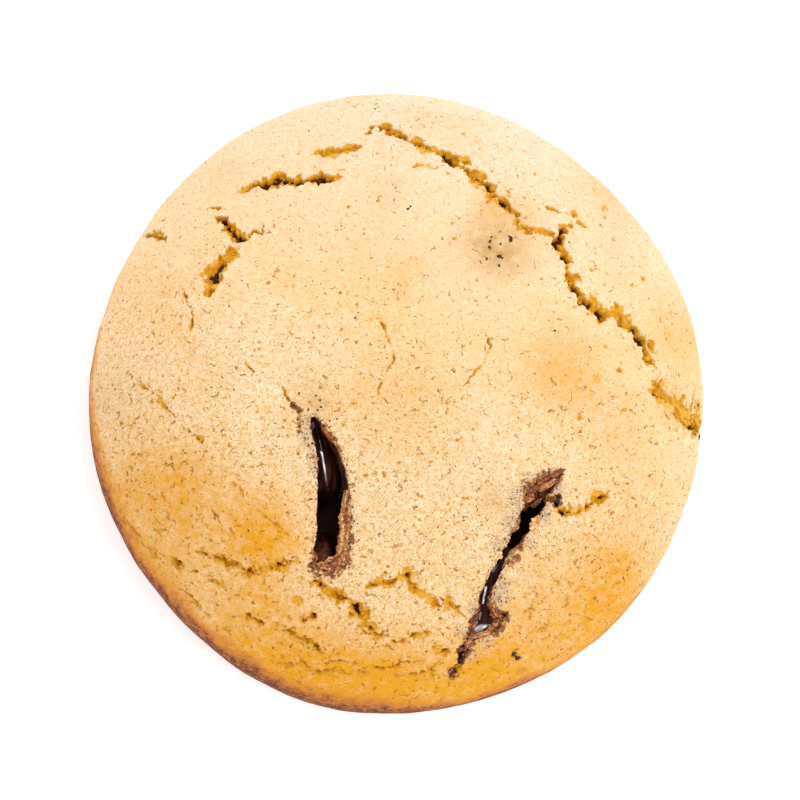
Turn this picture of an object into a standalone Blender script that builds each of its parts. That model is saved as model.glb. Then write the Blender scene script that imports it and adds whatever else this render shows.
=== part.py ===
"""A soft round cookie with a chocolate filling that shows through two open splits in its crust.

It stands on its flat base at z = 0 with its middle on the z axis. Metres, +Z up.
Places on the crust are drawn on a plan as the cookie is looked down on, from above and a little
from the front left: u runs right and v runs up that plan, in millimetres from its middle.
"""

import math
import random

import bmesh
import bpy
from mathutils import Vector

MM = 0.001

# The whole cookie
DIAMETER = 81 * MM
HEIGHT = 24 * MM
WIDEST_AT = 7.5 * MM
BASE_RADIUS = 35 * MM
DOME_FULLNESS = 2.5
# How far the outline swells or shrinks: waves round the rim, share of the radius, direction in degrees
OUTLINE_WAVES = (
    (1, 0.0019, 234), (2, 0.012, 74), (3, 0.004, 114), (4, 0.004, 6), (5, 0.003, 33), (6, 0.003, 13))

# The direction that the plan is drawn from
PLAN_ELEVATION = math.radians(75)
PLAN_AZIMUTH = math.radians(-35)
PLAN_MIDDLE_HEIGHT = 8 * MM

# Swellings and hollows of the crust: u, v, radius, height
LOBES = (
    (-22, -13, 9.5, 1.5),
    (-24, 8, 11, 0.5),
    (27, -20, 9.5, 1.2),
    (22, 5, 7, 0.6),
    (32, -4, 6, 0.9),
    (9, 35, 12, 0.8),
    (30, 22, 9, 0.6),
    (0, -31, 10, 0.7),
    (-13, 0, 5, -0.8),
    (12, 20, 5, -0.7),
    (19, -7, 5, -0.5),
    (8, 6, 9, -0.5),
    (-10, -24, 6, -0.5),
)

# Cracks that stay in the dough: half width, depth, step down to the right of the route, route
CRACKS = {
    "north_east": (0.65, 2.0, -0.5, (
        (-4.2, 34.8), (-3.4, 35.6), (-1.4, 35.7), (0.1, 34.5), (4.4, 32.8), (8.1, 30.6), (10.7, 28.6),
        (13.3, 26.1), (15.5, 24.2), (15.7, 22.6))),
    "shelf": (0.4, 1.0, 0, ((15.3, 22.6), (17.4, 22.5), (19.4, 22.1), (20.9, 21.6))),
    "knee": (0.6, 2.0, 0, ((21.9, 22.8), (20.9, 21.6), (20.7, 20.5), (21.5, 19.2), (21.9, 17.7))),
    "east": (0.75, 2.2, -0.3, (
        (21.9, 17.7), (22.9, 14.4), (23.9, 13.1), (26.3, 11.2), (28.1, 10.9), (30.8, 9.0), (32.5, 5.7),
        (33.4, 4.3))),
    "east_foot": (0.9, 2.0, -1.6, (
        (33.0, 2.7), (33.9, 0.8), (35.2, -0.3), (36.7, -2.2), (38.0, -3.7), (39.9, -4.0))),
    "north_west": (0.7, 1.8, 0, (
        (-20.8, 27.2), (-18.5, 28.2), (-16.9, 28.2), (-15.5, 28.9), (-12.4, 28.4), (-11.2, 29.0),
        (-7.3, 29.0))),
    "north": (0.6, 1.2, 0, ((-10.1, 31.9), (-8.8, 32.5), (-6.0, 33.0), (-4.8, 33.3))),
    "west": (0.6, 1.7, 0, ((-23.7, 23.8), (-22.4, 23.4), (-21.8, 22.1), (-20.5, 21.2), (-19.5, 20.8))),
    "west_foot": (0.7, 1.8, 0, ((-20.8, 19.8), (-22.8, 17.6), (-23.7, 16.1), (-24.4, 13.5))),
    "west_rim": (0.5, 1.0, 0, ((-32.6, 21.8), (-31.4, 21.4), (-30.0, 20.7))),
    "south_west": (0.65, 1.5, 0, (
        (-25.9, -18.9), (-23.1, -20.4), (-20.4, -21.3), (-19.0, -22.2), (-15.5, -21.1), (-12.2, -20.5))),
    "south": (0.6, 1.6, 0, (
        (-10.9, -22.8), (-8.8, -24.6), (-6.9, -25.2), (-5.3, -26.7), (-4.6, -28.6), (-2.3, -29.9))),
    "south_middle": (0.5, 1.2, 0, (
        (-4.4, -23.8), (-0.5, -23.0), (1.2, -22.4), (2.0, -24.4), (5.2, -26.5), (8.1, -27.4))),
    "spur": (0.6, 1.4, 0, ((20.3, -14.0), (22.2, -14.6), (23.9, -14.2), (26.0, -12.5), (27.4, -12.5))),
    "tail": (0.5, 1.8, 0, ((8.9, -31.4), (8.2, -32.6), (7.7, -34.3), (6.6, -35.8))),
}
CRACK_TAPER = 0.16
CRACK_FOOT_SHARE = 0.3
CUT_ABOVE = 1.5 * MM
RAG_LENGTH = 1.3 * MM
RAG_WIDTH = 0.25 * MM
RAG_SEED = 7
STEP_REACH = 6 * MM

# Splits that open on the filling: u, v, half width, depth of the chocolate under the crust
SPLITS = {
    "west": (
        (-10.8, -1.8, 0.3, 1.5), (-10.3, -3.2, 0.9, 2.0), (-9.5, -5.0, 1.2, 3.0), (-8.8, -7.0, 1.5, 4.0),
        (-8.4, -9.4, 1.9, 5.5), (-8.2, -12.0, 2.1, 8.0), (-8.2, -14.5, 2.2, 9.0), (-8.2, -17.0, 2.1, 7.0),
        (-8.6, -19.0, 2.1, 4.0), (-9.3, -20.6, 1.9, 2.2), (-9.9, -21.6, 1.0, 1.5)),
    "east": (
        (21.0, -9.0, 0.4, 0.8), (19.8, -10.1, 0.8, 0.9), (18.6, -11.7, 1.0, 1.4), (17.6, -13.4, 1.3, 4.5),
        (16.6, -15.2, 1.2, 6.0), (15.5, -17.4, 0.9, 5.5), (14.2, -19.5, 0.8, 3.5), (13.0, -21.3, 0.6, 2.0),
        (12.0, -23.2, 0.6, 1.8), (11.1, -25.4, 0.8, 1.6), (11.5, -27.6, 1.5, 1.4), (10.4, -29.3, 1.0, 1.2),
        (9.0, -31.0, 0.4, 1.0)),
}
SPLIT_FLOOR = 9.5 * MM
SPLIT_NARROWS_TO = 0.8
LEAST_RISE = 0.08 * MM

# The chocolate inside
POOL_MIDDLE = Vector((1, -7, 11.5)) * MM
POOL_RADII = Vector((26, 24, 4.5)) * MM
FILLING_GAP = 0.35 * MM
AIR_POCKET_MIDDLE = (-8.4, -14.5)
AIR_POCKET_HEIGHT = 15.5 * MM
AIR_POCKET_RADII = Vector((3.6, 6, 5)) * MM

# How fine the faceted solids are: the longest edge on plain crust, and within reach of a crack
PLAIN_EDGE = 3.2 * MM
CRACK_EDGE = 1.6 * MM
CRACK_ZONE = 1.5 * MM
MOST_SPLITS = 4
FLAT_BELOW = 0.001 * MM


# The plain form: a low dome on a rounded foot

def outline_radius(angle):
    waves = sum(share * math.cos(count * (angle - math.radians(at))) for count, share, at in OUTLINE_WAVES)
    return DIAMETER / 2 * (1 + waves)


def plain_height(x, y):
    """The dome's height over a place, with neither lobes nor cracks."""
    share = math.hypot(x, y) / outline_radius(math.atan2(y, x))
    rise = math.sqrt(max(0.0, 1 - min(share, 1) ** DOME_FULLNESS))
    return WIDEST_AT + (HEIGHT - WIDEST_AT) * rise


def foot_height(x, y):
    """The height of the rounded foot, under the widest line, over a place. The base inside it is flat."""
    rim = outline_radius(math.atan2(y, x))
    base = BASE_RADIUS * rim / (DIAMETER / 2)
    out = max(0.0, (math.hypot(x, y) - base) / (rim - base))
    return WIDEST_AT * (1 - math.sqrt(max(0.0, 1 - min(out, 1) ** 2)))


# The plan, and where a place on it lies on the crust

TOWARDS_EYE = Vector((
    math.sin(PLAN_AZIMUTH) * math.cos(PLAN_ELEVATION),
    -math.cos(PLAN_AZIMUTH) * math.cos(PLAN_ELEVATION),
    math.sin(PLAN_ELEVATION)))
PLAN_UP = (Vector((0, 1, 0)) - TOWARDS_EYE * TOWARDS_EYE.y).normalized()
PLAN_RIGHT = PLAN_UP.cross(TOWARDS_EYE)


def on_crust(u, v):
    """The place (x, y) under a point of the plan, found by walking down to the dome."""
    x, y = u * MM, v * MM
    for _ in range(30):
        lift = plain_height(x, y) - PLAN_MIDDLE_HEIGHT
        new_x = (u * MM - PLAN_RIGHT.y * y - PLAN_RIGHT.z * lift) / PLAN_RIGHT.x
        new_y = (v * MM - PLAN_UP.x * x - PLAN_UP.z * lift) / PLAN_UP.y
        x, y = (x + new_x) / 2, (y + new_y) / 2
    return Vector((x, y))


LOBE_PLACES = [(on_crust(u, v), radius * MM, height * MM) for u, v, radius, height in LOBES]


def lobes_height(x, y):
    total = 0.0
    for middle, radius, height in LOBE_PLACES:
        away = ((x - middle.x) ** 2 + (y - middle.y) ** 2) / radius ** 2
        total += height * math.exp(-away)
    share = math.hypot(x, y) / (DIAMETER / 2)
    return total * max(0.0, 1 - share ** 6)


# Steps: where a crack has let the crust on one side of it drop

def route_of(points):
    return [on_crust(u, v) for u, v in points]


ROUTES = [(step * MM, route_of(points)) for _, _, step, points in CRACKS.values()]
STEPPED_ROUTES = [(step, route) for step, route in ROUTES if step]


def nearest_on(route, place):
    """(distance, share of the way along, side) of the nearest point of a route; side is 1 to its right."""
    best = (math.inf, 0.0, 1)
    legs = len(route) - 1
    for i in range(legs):
        run = route[i + 1] - route[i]
        off = place - route[i]
        share = min(1.0, max(0.0, off.dot(run) / run.length_squared))
        away = (off - run * share).length
        if away < best[0]:
            side = 1 if run.cross(off) < 0 else -1
            best = (away, (i + share) / legs, side)
    return best


def step_height(place):
    total = 0.0
    for step, route in STEPPED_ROUTES:
        away, along, side = nearest_on(route, place)
        fade = min(1.0, along / CRACK_TAPER, (1 - along) / CRACK_TAPER)
        total -= step / 2 * side * max(0.0, fade) * math.exp(-(away / STEP_REACH) ** 2)
    return total


def crust_height(place):
    lobes = lobes_height(place.x, place.y) + step_height(place)
    return plain_height(place.x, place.y) + lobes


# The dough, before its cracks and splits are cut

def on_cookie(direction):
    """The plain form's point in the direction of a unit vector: above its middle the dome, below it the foot."""
    rim = outline_radius(math.atan2(direction.y, direction.x))
    x, y = direction.x * rim, direction.y * rim
    return Vector((x, y, plain_height(x, y) if direction.z >= 0 else foot_height(x, y)))


def wanted_edge(direction):
    place = on_cookie(direction)
    if direction.z < 0:
        return PLAIN_EDGE if place.z > FLAT_BELOW else DIAMETER
    near = any(nearest_on(route, place.xy)[0] < CRACK_ZONE for _, route in ROUTES)
    return CRACK_EDGE if near else PLAIN_EDGE


def fine_directions():
    """A ball of unit vectors, split more finely where the cookie needs it."""
    ball = bmesh.new()
    bmesh.ops.create_icosphere(ball, subdivisions=4, radius=1)
    for _ in range(MOST_SPLITS):
        long_edges = []
        for edge in ball.edges:
            a, b = (on_cookie(vert.co) for vert in edge.verts)
            middle = (edge.verts[0].co + edge.verts[1].co).normalized()
            if (a - b).length > wanted_edge(middle):
                long_edges.append(edge)
        if not long_edges:
            break
        bmesh.ops.subdivide_edges(ball, edges=long_edges, cuts=1)
        bmesh.ops.triangulate(ball, faces=ball.faces[:])
        for vert in ball.verts:
            vert.co.normalize()
    return ball


def dough_body():
    body = fine_directions()
    for vert in body.verts:
        above = vert.co.z >= 0
        vert.co = on_cookie(vert.co)
        if above:
            vert.co.z = crust_height(vert.co.xy)
    flat = [face for face in body.faces if all(vert.co.z < FLAT_BELOW for vert in face.verts)]
    bmesh.ops.dissolve_faces(body, faces=flat)
    bmesh.ops.triangulate(body, faces=body.faces[:])
    return body


# Blocks that follow a route: they cut the cracks and splits, and make what rises in the splits

def block_along(stations):
    """A closed block through stations of (place, half width and height above, half width and height below)."""
    block = bmesh.new()
    places = [place for place, *_ in stations]
    upper, lower = [], []
    for i, (place, half_above, above, half_below, below) in enumerate(stations):
        along = (places[min(i + 1, len(places) - 1)] - places[max(i - 1, 0)]).normalized()
        across = Vector((along.y, -along.x))
        for side in (-1, 1):
            upper.append(block.verts.new((*(place + across * side * half_above), above)))
            lower.append(Vector((*(place + across * side * half_below), below)))
    tops = [
        block.faces.new((upper[i], upper[i + 1], upper[i + 3], upper[i + 2]))
        for i in range(0, len(upper) - 2, 2)]
    goes_down = dict(zip((tuple(vert.co) for vert in upper), lower))
    made = bmesh.ops.extrude_face_region(block, geom=tops, use_keep_orig=True)["geom"]
    for vert in [item for item in made if isinstance(item, bmesh.types.BMVert)]:
        vert.co = goes_down[tuple(vert.co)]
    bmesh.ops.triangulate(block, faces=block.faces[:])
    bmesh.ops.recalc_face_normals(block, faces=block.faces[:])
    return block


def ragged(points, dice):
    """(place, share of the way along) about every RAG_LENGTH of a route, each knocked a little sideways."""
    route = route_of(points)
    found = []
    for i in range(len(route) - 1):
        run = route[i + 1] - route[i]
        pieces = max(1, round(run.length / RAG_LENGTH))
        across = Vector((run.y, -run.x)).normalized()
        for piece in range(pieces):
            knock = 0 if i + piece == 0 else dice.uniform(-RAG_WIDTH, RAG_WIDTH)
            place = route[i] + run * piece / pieces + across * knock
            found.append((place, (i + piece / pieces) / (len(route) - 1)))
    return [*found, (route[-1], 1.0)]


def crack_block(half_width, depth, points, dice):
    """A wedge that is half_width wide each side where it meets the crust and nearly closed at its foot."""
    stations = []
    for place, along in ragged(points, dice):
        taper = min(1.0, 0.3 + along / CRACK_TAPER, 0.3 + (1 - along) / CRACK_TAPER)
        half = half_width * taper * dice.uniform(0.8, 1.2)
        foot = half * CRACK_FOOT_SHARE
        crust = crust_height(place)
        higher_side = crust_height(place - place.normalized() * half * 2)
        above = max(crust, higher_side) + CUT_ABOVE
        flare = (half - foot) / (depth * taper)
        stations.append((place, half + flare * CUT_ABOVE, above, foot, crust - depth * taper))
    return block_along(stations)


def split_stations(split, shrink, height_above):
    stations = []
    for i, (u, v, half_width, sink) in enumerate(split):
        place = on_crust(u, v)
        half = max(half_width * MM - shrink, LEAST_RISE)
        if shrink and i in (0, len(split) - 1):
            inner = on_crust(*split[1 if i == 0 else -2][:2])
            place = place + (inner - place).normalized() * shrink
        stations.append(
            (place, half, height_above(place, sink * MM), half * SPLIT_NARROWS_TO, SPLIT_FLOOR + shrink))
    return stations


def ellipsoid(middle, radii, segments, rings):
    form = bmesh.new()
    bmesh.ops.create_uvsphere(form, u_segments=segments, v_segments=rings, radius=1)
    bmesh.ops.scale(form, vec=radii, verts=form.verts)
    bmesh.ops.translate(form, vec=middle, verts=form.verts)
    return form


def object_of(name, form):
    mesh = bpy.data.meshes.new(name)
    form.to_mesh(mesh)
    form.free()
    made = bpy.data.objects.new(name, mesh)
    bpy.context.scene.collection.objects.link(made)
    return made


def helper(name, form):
    """A cutter or a form to join: it isn't part of the cookie."""
    made = object_of(name, form)
    made.hide_render = True
    made.display_type = "WIRE"
    return made


def add_boolean(target, operation, other):
    boolean = target.modifiers.new(f"{operation.lower()}_{other.name}", "BOOLEAN")
    boolean.operation = operation
    boolean.object = other
    boolean.solver = "EXACT"


def material(name, colour, roughness):
    made = bpy.data.materials.new(name)
    made.use_nodes = True
    shader = made.node_tree.nodes["Principled BSDF"]
    shader.inputs["Base Color"].default_value = (*colour, 1)
    shader.inputs["Roughness"].default_value = roughness
    shader.inputs["Metallic"].default_value = 0
    made.diffuse_color = (*colour, 1)
    return made


def above_crust(_place, _sink):
    return HEIGHT * 1.3


def under_crust(place, sink):
    return crust_height(place) - sink


def make_dough():
    dough = object_of("dough", dough_body())
    dough.data.materials.append(material("baked_dough", (0.90, 0.62, 0.30), 0.85))
    dice = random.Random(RAG_SEED)
    for name, (half_width, depth, _, points) in CRACKS.items():
        wedge = helper(f"{name}_crack", crack_block(half_width * MM, depth * MM, points, dice))
        add_boolean(dough, "DIFFERENCE", wedge)
    add_boolean(dough, "DIFFERENCE", helper("pool_hollow", ellipsoid(POOL_MIDDLE, POOL_RADII, 40, 14)))
    for name, split in SPLITS.items():
        opening = helper(f"{name}_opening", block_along(split_stations(split, 0, above_crust)))
        add_boolean(dough, "DIFFERENCE", opening)
    dough.data.shade_smooth()
    dough.data.set_sharp_from_angle(angle=math.radians(50))


def make_filling():
    gap = Vector((FILLING_GAP,) * 3)
    filling = object_of("filling", ellipsoid(POOL_MIDDLE, POOL_RADII - gap, 40, 14))
    filling.data.materials.append(material("chocolate", (0.035, 0.012, 0.007), 0.3))
    for name, split in SPLITS.items():
        rise = helper(f"{name}_rise", block_along(split_stations(split, FILLING_GAP, under_crust)))
        add_boolean(filling, "UNION", rise)
    pocket = on_crust(*AIR_POCKET_MIDDLE)
    air = ellipsoid(Vector((*pocket, AIR_POCKET_HEIGHT)), AIR_POCKET_RADII, 20, 12)
    add_boolean(filling, "DIFFERENCE", helper("air_pocket", air))
    filling.data.shade_smooth()


for old in list(bpy.data.objects):
    bpy.data.objects.remove(old)
make_dough()
make_filling()
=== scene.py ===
"""The looks of a soft round cookie whose chocolate filling shows through two splits in its crust.

Metres, +Z up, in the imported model's frame. Places on the crust are drawn on a plan as the cookie
is looked down on, from above and a little from the front left: u runs right and v runs up that
plan, in millimetres from its middle.
"""

import math
import random

import bmesh
import bpy
import numpy as np
from mathutils import Matrix, Vector, kdtree, noise


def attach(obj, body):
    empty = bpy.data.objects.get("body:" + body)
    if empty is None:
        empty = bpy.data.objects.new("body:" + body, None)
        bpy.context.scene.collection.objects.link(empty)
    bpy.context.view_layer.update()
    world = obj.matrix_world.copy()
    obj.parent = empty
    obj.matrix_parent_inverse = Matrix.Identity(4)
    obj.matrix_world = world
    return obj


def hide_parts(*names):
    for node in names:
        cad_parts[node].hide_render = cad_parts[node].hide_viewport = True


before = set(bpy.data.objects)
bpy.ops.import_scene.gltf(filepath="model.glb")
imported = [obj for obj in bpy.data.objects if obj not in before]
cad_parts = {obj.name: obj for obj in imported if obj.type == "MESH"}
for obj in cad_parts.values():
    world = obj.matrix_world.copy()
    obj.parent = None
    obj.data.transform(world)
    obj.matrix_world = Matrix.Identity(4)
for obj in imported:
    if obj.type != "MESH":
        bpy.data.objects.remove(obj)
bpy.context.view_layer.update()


# The dough's crust
# The real cookie is a ball of soft dough that spread and domed as it baked: a low dome on a rounded
# foot, lumpy where the dough was thick, with a ring of cracks where the middle rose away from the rim.

MM = 0.001
# Shorter than this counts as nothing
TINY = 0.001 * MM
DIAMETER = 81 * MM
HEIGHT = 24 * MM
WIDEST_AT = 7.5 * MM
BASE_RADIUS = 35 * MM
DOME_FULLNESS = 2.5
# Waves round the rim: share of the radius, direction in degrees
OUTLINE_WAVES = (
    (1, 0.0019, 234), (2, 0.012, 74), (3, 0.004, 114), (4, 0.004, 6), (5, 0.003, 33), (6, 0.003, 13))

PLAN_ELEVATION = math.radians(75)
PLAN_AZIMUTH = math.radians(-35)
PLAN_MIDDLE_HEIGHT = 8 * MM
# Rounds in which a point of the plan settles on the dome
WALK_TO_DOME = 30

# Swellings and hollows of the crust: u, v, radius, height
LOBES = (
    (-22, -13, 9.5, 1.5),
    (-24, 8, 11, 0.5),
    (27, -20, 9.5, 1.2),
    (22, 5, 7, 0.6),
    (32, -4, 6, 0.9),
    (9, 35, 12, 0.8),
    (30, 22, 9, 0.6),
    (0, -31, 10, 0.7),
    (-13, 0, 5, -0.8),
    (12, 20, 5, -0.7),
    (19, -7, 5, -0.5),
    (8, 6, 9, -0.5),
    (-10, -24, 6, -0.5),
)

# Cracks: half width, depth, step down to the right of the route, width of the crumbled flank (right of the
# route, or left where it is negative), how broken its line is, and the route
CRACKS = {
    "north_east": (0.65, 1.9, -0.5, 1.3, 1.1, (
        (-4.2, 34.8), (-3.4, 35.6), (-1.4, 35.7), (0.1, 34.5), (4.4, 32.8), (8.1, 30.6), (10.7, 28.6),
        (13.3, 26.1), (15.5, 24.2), (15.7, 22.6))),
    "shelf": (0.4, 0.8, 0, 0.8, 1.3, ((15.3, 22.6), (17.4, 22.5), (19.4, 22.1), (20.9, 21.6))),
    "knee": (0.6, 2, 0, 0.9, 1.1, ((21.9, 22.8), (20.9, 21.6), (20.7, 20.5), (21.5, 19.2), (21.9, 17.7))),
    "east": (0.75, 1.87, -0.3, -2.2, 1.1, (
        (21.9, 17.7), (22.9, 14.4), (23.9, 13.1), (26.3, 11.2), (28.1, 10.9), (30.8, 9), (32.5, 5.7),
        (33.4, 4.3))),
    "east_foot": (0.9, 1.1, -1.6, -3.4, 1, (
        (33, 2.7), (33.9, 0.8), (35.2, -0.3), (36.7, -2.2), (38, -3.7), (39.9, -4))),
    "north_west": (0.7, 1.44, 0, 1, 1.4, (
        (-20.8, 27.2), (-18.5, 28.2), (-16.9, 28.2), (-15.5, 28.9), (-12.4, 28.4), (-11.2, 29),
        (-7.3, 29))),
    "north": (0.6, 0.84, 0, 1.1, 1.5, ((-10.1, 31.9), (-8.8, 32.5), (-6, 33), (-4.8, 33.3))),
    "west": (0.6, 1.53, 0, 0.8, 1.4, (
        (-23.7, 23.8), (-22.4, 23.4), (-21.8, 22.1), (-20.5, 21.2), (-19.5, 20.8))),
    "west_foot": (0.9, 1.71, 0, 1.5, 1, ((-20.8, 19.8), (-22.8, 17.6), (-23.7, 16.1), (-24.4, 13.5))),
    "west_rim": (0.5, 0.8, 0, 0.5, 1, ((-32.6, 21.8), (-31.4, 21.4), (-30, 20.7))),
    "south_west": (0.65, 1.2, 0, -1.1, 2.4, (
        (-25.9, -18.9), (-23.1, -20.4), (-20.4, -21.3), (-19, -22.2), (-15.5, -21.1), (-12.2, -20.5))),
    "south": (0.6, 1.36, 0, -1.2, 2, (
        (-10.9, -22.8), (-8.8, -24.6), (-6.9, -25.2), (-5.3, -26.7), (-4.6, -28.6), (-2.3, -29.9))),
    "south_middle": (0.5, 1.02, 0, -1.1, 2.2, (
        (-4.4, -23.8), (-0.5, -23), (1.2, -22.4), (2, -24.4), (5.2, -26.5), (8.1, -27.4))),
    "spur": (0.6, 1.26, 0, -0.9, 1.8, (
        (20.3, -14), (22.2, -14.6), (23.9, -14.2), (26, -12.5), (27.4, -12.5))),
    "tail": (0.5, 1.8, 0, 0.7, 1.5, ((8.9, -31.4), (8.2, -32.6), (7.7, -34.3), (6.6, -35.8))),
}
CRACK_TAPER = 0.16
STEP_REACH = 6 * MM
STEP_RIM_FADE = 0.05

# Splits that open on the filling: u, v, half width
SPLITS = {
    "west": (
        (-10.8, -1.8, 0.3), (-10.3, -3.2, 0.9), (-9.5, -5, 1.2), (-8.8, -7, 1.5),
        (-8.4, -9.4, 1.9), (-8.2, -12, 2.1), (-8.2, -14.5, 2.2), (-8.2, -17, 2.1),
        (-8.6, -19, 2.1), (-9.3, -20.6, 1.9), (-9.9, -21.6, 1)),
    "east": (
        (21, -9, 0.4), (19.8, -10.1, 0.8), (18.6, -11.7, 1), (17.6, -13.4, 1.3),
        (16.6, -15.2, 1.2), (15.5, -17.4, 0.9), (14.2, -19.5, 0.8), (13, -21.3, 0.6),
        (12, -23.2, 0.6), (11.1, -25.4, 0.8), (11.5, -27.6, 1.5), (10.4, -29.3, 1),
        (9, -31, 0.4)),
}
SPLIT_FLOOR = 9.5 * MM
SPLIT_NARROWS_TO = 0.8
POOL_MIDDLE = Vector((1, -7, 11.5)) * MM
POOL_RADII = Vector((26, 24, 4.5)) * MM


def outline_radius(angle):
    waves = sum(share * np.cos(count * (angle - math.radians(at))) for count, share, at in OUTLINE_WAVES)
    return DIAMETER / 2 * (1 + waves)


def rim_share(x, y):
    """How far out places lie, as a share of the way to the rim."""
    return np.hypot(x, y) / outline_radius(np.arctan2(y, x))


def dome_height(x, y):
    """The plain dome's height over places, with neither lobes nor cracks."""
    return WIDEST_AT + (HEIGHT - WIDEST_AT) * np.sqrt(np.clip(1 - rim_share(x, y) ** DOME_FULLNESS, 0, 1))


def foot_height(x, y):
    """The height of the rounded foot over places. The base inside it is flat."""
    base = BASE_RADIUS / (DIAMETER / 2)
    out = np.clip((rim_share(x, y) - base) / (1 - base), 0, 1)
    return WIDEST_AT * (1 - np.sqrt(1 - out ** 2))


TOWARDS_EYE = Vector((
    math.sin(PLAN_AZIMUTH) * math.cos(PLAN_ELEVATION),
    -math.cos(PLAN_AZIMUTH) * math.cos(PLAN_ELEVATION),
    math.sin(PLAN_ELEVATION)))
PLAN_UP = (Vector((0, 1, 0)) - TOWARDS_EYE * TOWARDS_EYE.y).normalized()
PLAN_RIGHT = PLAN_UP.cross(TOWARDS_EYE)


def on_crust(rows):
    """The places (x, y) under rows that begin with a point (u, v) of the plan."""
    u, v = np.array([row[:2] for row in rows], float).T * MM
    x, y = u.copy(), v.copy()
    for _ in range(WALK_TO_DOME):
        lift = dome_height(x, y) - PLAN_MIDDLE_HEIGHT
        new_x = (u - PLAN_RIGHT.y * y - PLAN_RIGHT.z * lift) / PLAN_RIGHT.x
        new_y = (v - PLAN_UP.x * x - PLAN_UP.z * lift) / PLAN_UP.y
        x, y = (x + new_x) / 2, (y + new_y) / 2
    return np.column_stack((x, y))


LOBE_PLACES = on_crust(LOBES)


def lobes_height(x, y):
    """What the swellings and hollows add to the dome."""
    total = np.zeros_like(x)
    for middle, (_, _, radius, height) in zip(LOBE_PLACES, LOBES):
        away = ((x - middle[0]) ** 2 + (y - middle[1]) ** 2) / (radius * MM) ** 2
        total += height * MM * np.exp(-away)
    share = np.hypot(x, y) / (DIAMETER / 2)
    return total * np.clip(1 - share ** 6, 0, 1)


def nearest_on(route, places):
    """Distances, shares of the way along and sides of the nearest points of a route; side 1 is its right."""
    best = np.full(len(places), np.inf)
    along = np.zeros(len(places))
    side = np.ones(len(places))
    legs = len(route) - 1
    for i in range(legs):
        run = route[i + 1] - route[i]
        off = places - route[i]
        share = np.clip(off @ run / (run @ run), 0, 1)
        away = np.linalg.norm(off - share[:, None] * run, axis=1)
        nearer = away < best
        best[nearer] = away[nearer]
        along[nearer] = (i + share[nearer]) / legs
        side[nearer] = np.where(run[0] * off[nearer, 1] < run[1] * off[nearer, 0], 1, -1)
    return best, along, side


def step_height(places):
    """Where a crack has let the crust on one side of it drop."""
    total = np.zeros(len(places))
    for _, _, step, _, _, points in CRACKS.values():
        if step:
            away, along, side = nearest_on(on_crust(points), places)
            fade = np.clip(np.minimum(along, 1 - along) / CRACK_TAPER, 0, 1)
            fade *= np.clip((1 - rim_share(*places.T)) / STEP_RIM_FADE, 0, 1)
            total -= step * MM / 2 * side * fade * np.exp(-(away / STEP_REACH) ** 2)
    return total


def crust_height(places):
    x, y = places[:, 0], places[:, 1]
    return dome_height(x, y) + lobes_height(x, y) + step_height(places)


def between(at, knots, rows):
    """Rows of two numbers, read off between knots."""
    return np.column_stack([np.interp(at, knots, rows[:, axis]) for axis in (0, 1)])


def walk(rows, step):
    """Distances along a route drawn on the plan, its whole length, and the places at those distances."""
    corners = on_crust(rows)
    ends = np.concatenate(([0], np.cumsum(np.linalg.norm(np.diff(corners, axis=0), axis=1))))
    at = np.arange(0, ends[-1], step)
    return at, ends, between(at, ends, corners)


def rightward(spine):
    """The direction to the right of a line at each of its points."""
    ahead = np.gradient(spine, axis=0)
    return np.column_stack((ahead[:, 1], -ahead[:, 0])) / np.linalg.norm(ahead, axis=1)[:, None]


def smooth_steps(low, high, values):
    share = np.clip((values - low) / (high - low), 0, 1)
    return share * share * (3 - 2 * share)


def noise_at(places, size, seed):
    """Noise of about -1 to 1 at points, with lumps about size across."""
    shift = Vector((seed * 7.31, seed * 3.17, seed * 5.77))
    return np.array([noise.noise(Vector(place) / size + shift) for place in places])


def noise_along(at, size, seed):
    """The same for distances along a line."""
    return noise_at(np.column_stack((at, np.zeros((len(at), 2)))), size, seed)


def noise_over(places, size, seed):
    """The same for places on the plan."""
    return noise_at(np.column_stack((places, np.zeros(len(places)))), size, seed)


# Where the crust is torn: a trail of points along each crack and hairline, and one for each pocket
TRAIL_STEP = 0.1 * MM
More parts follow.
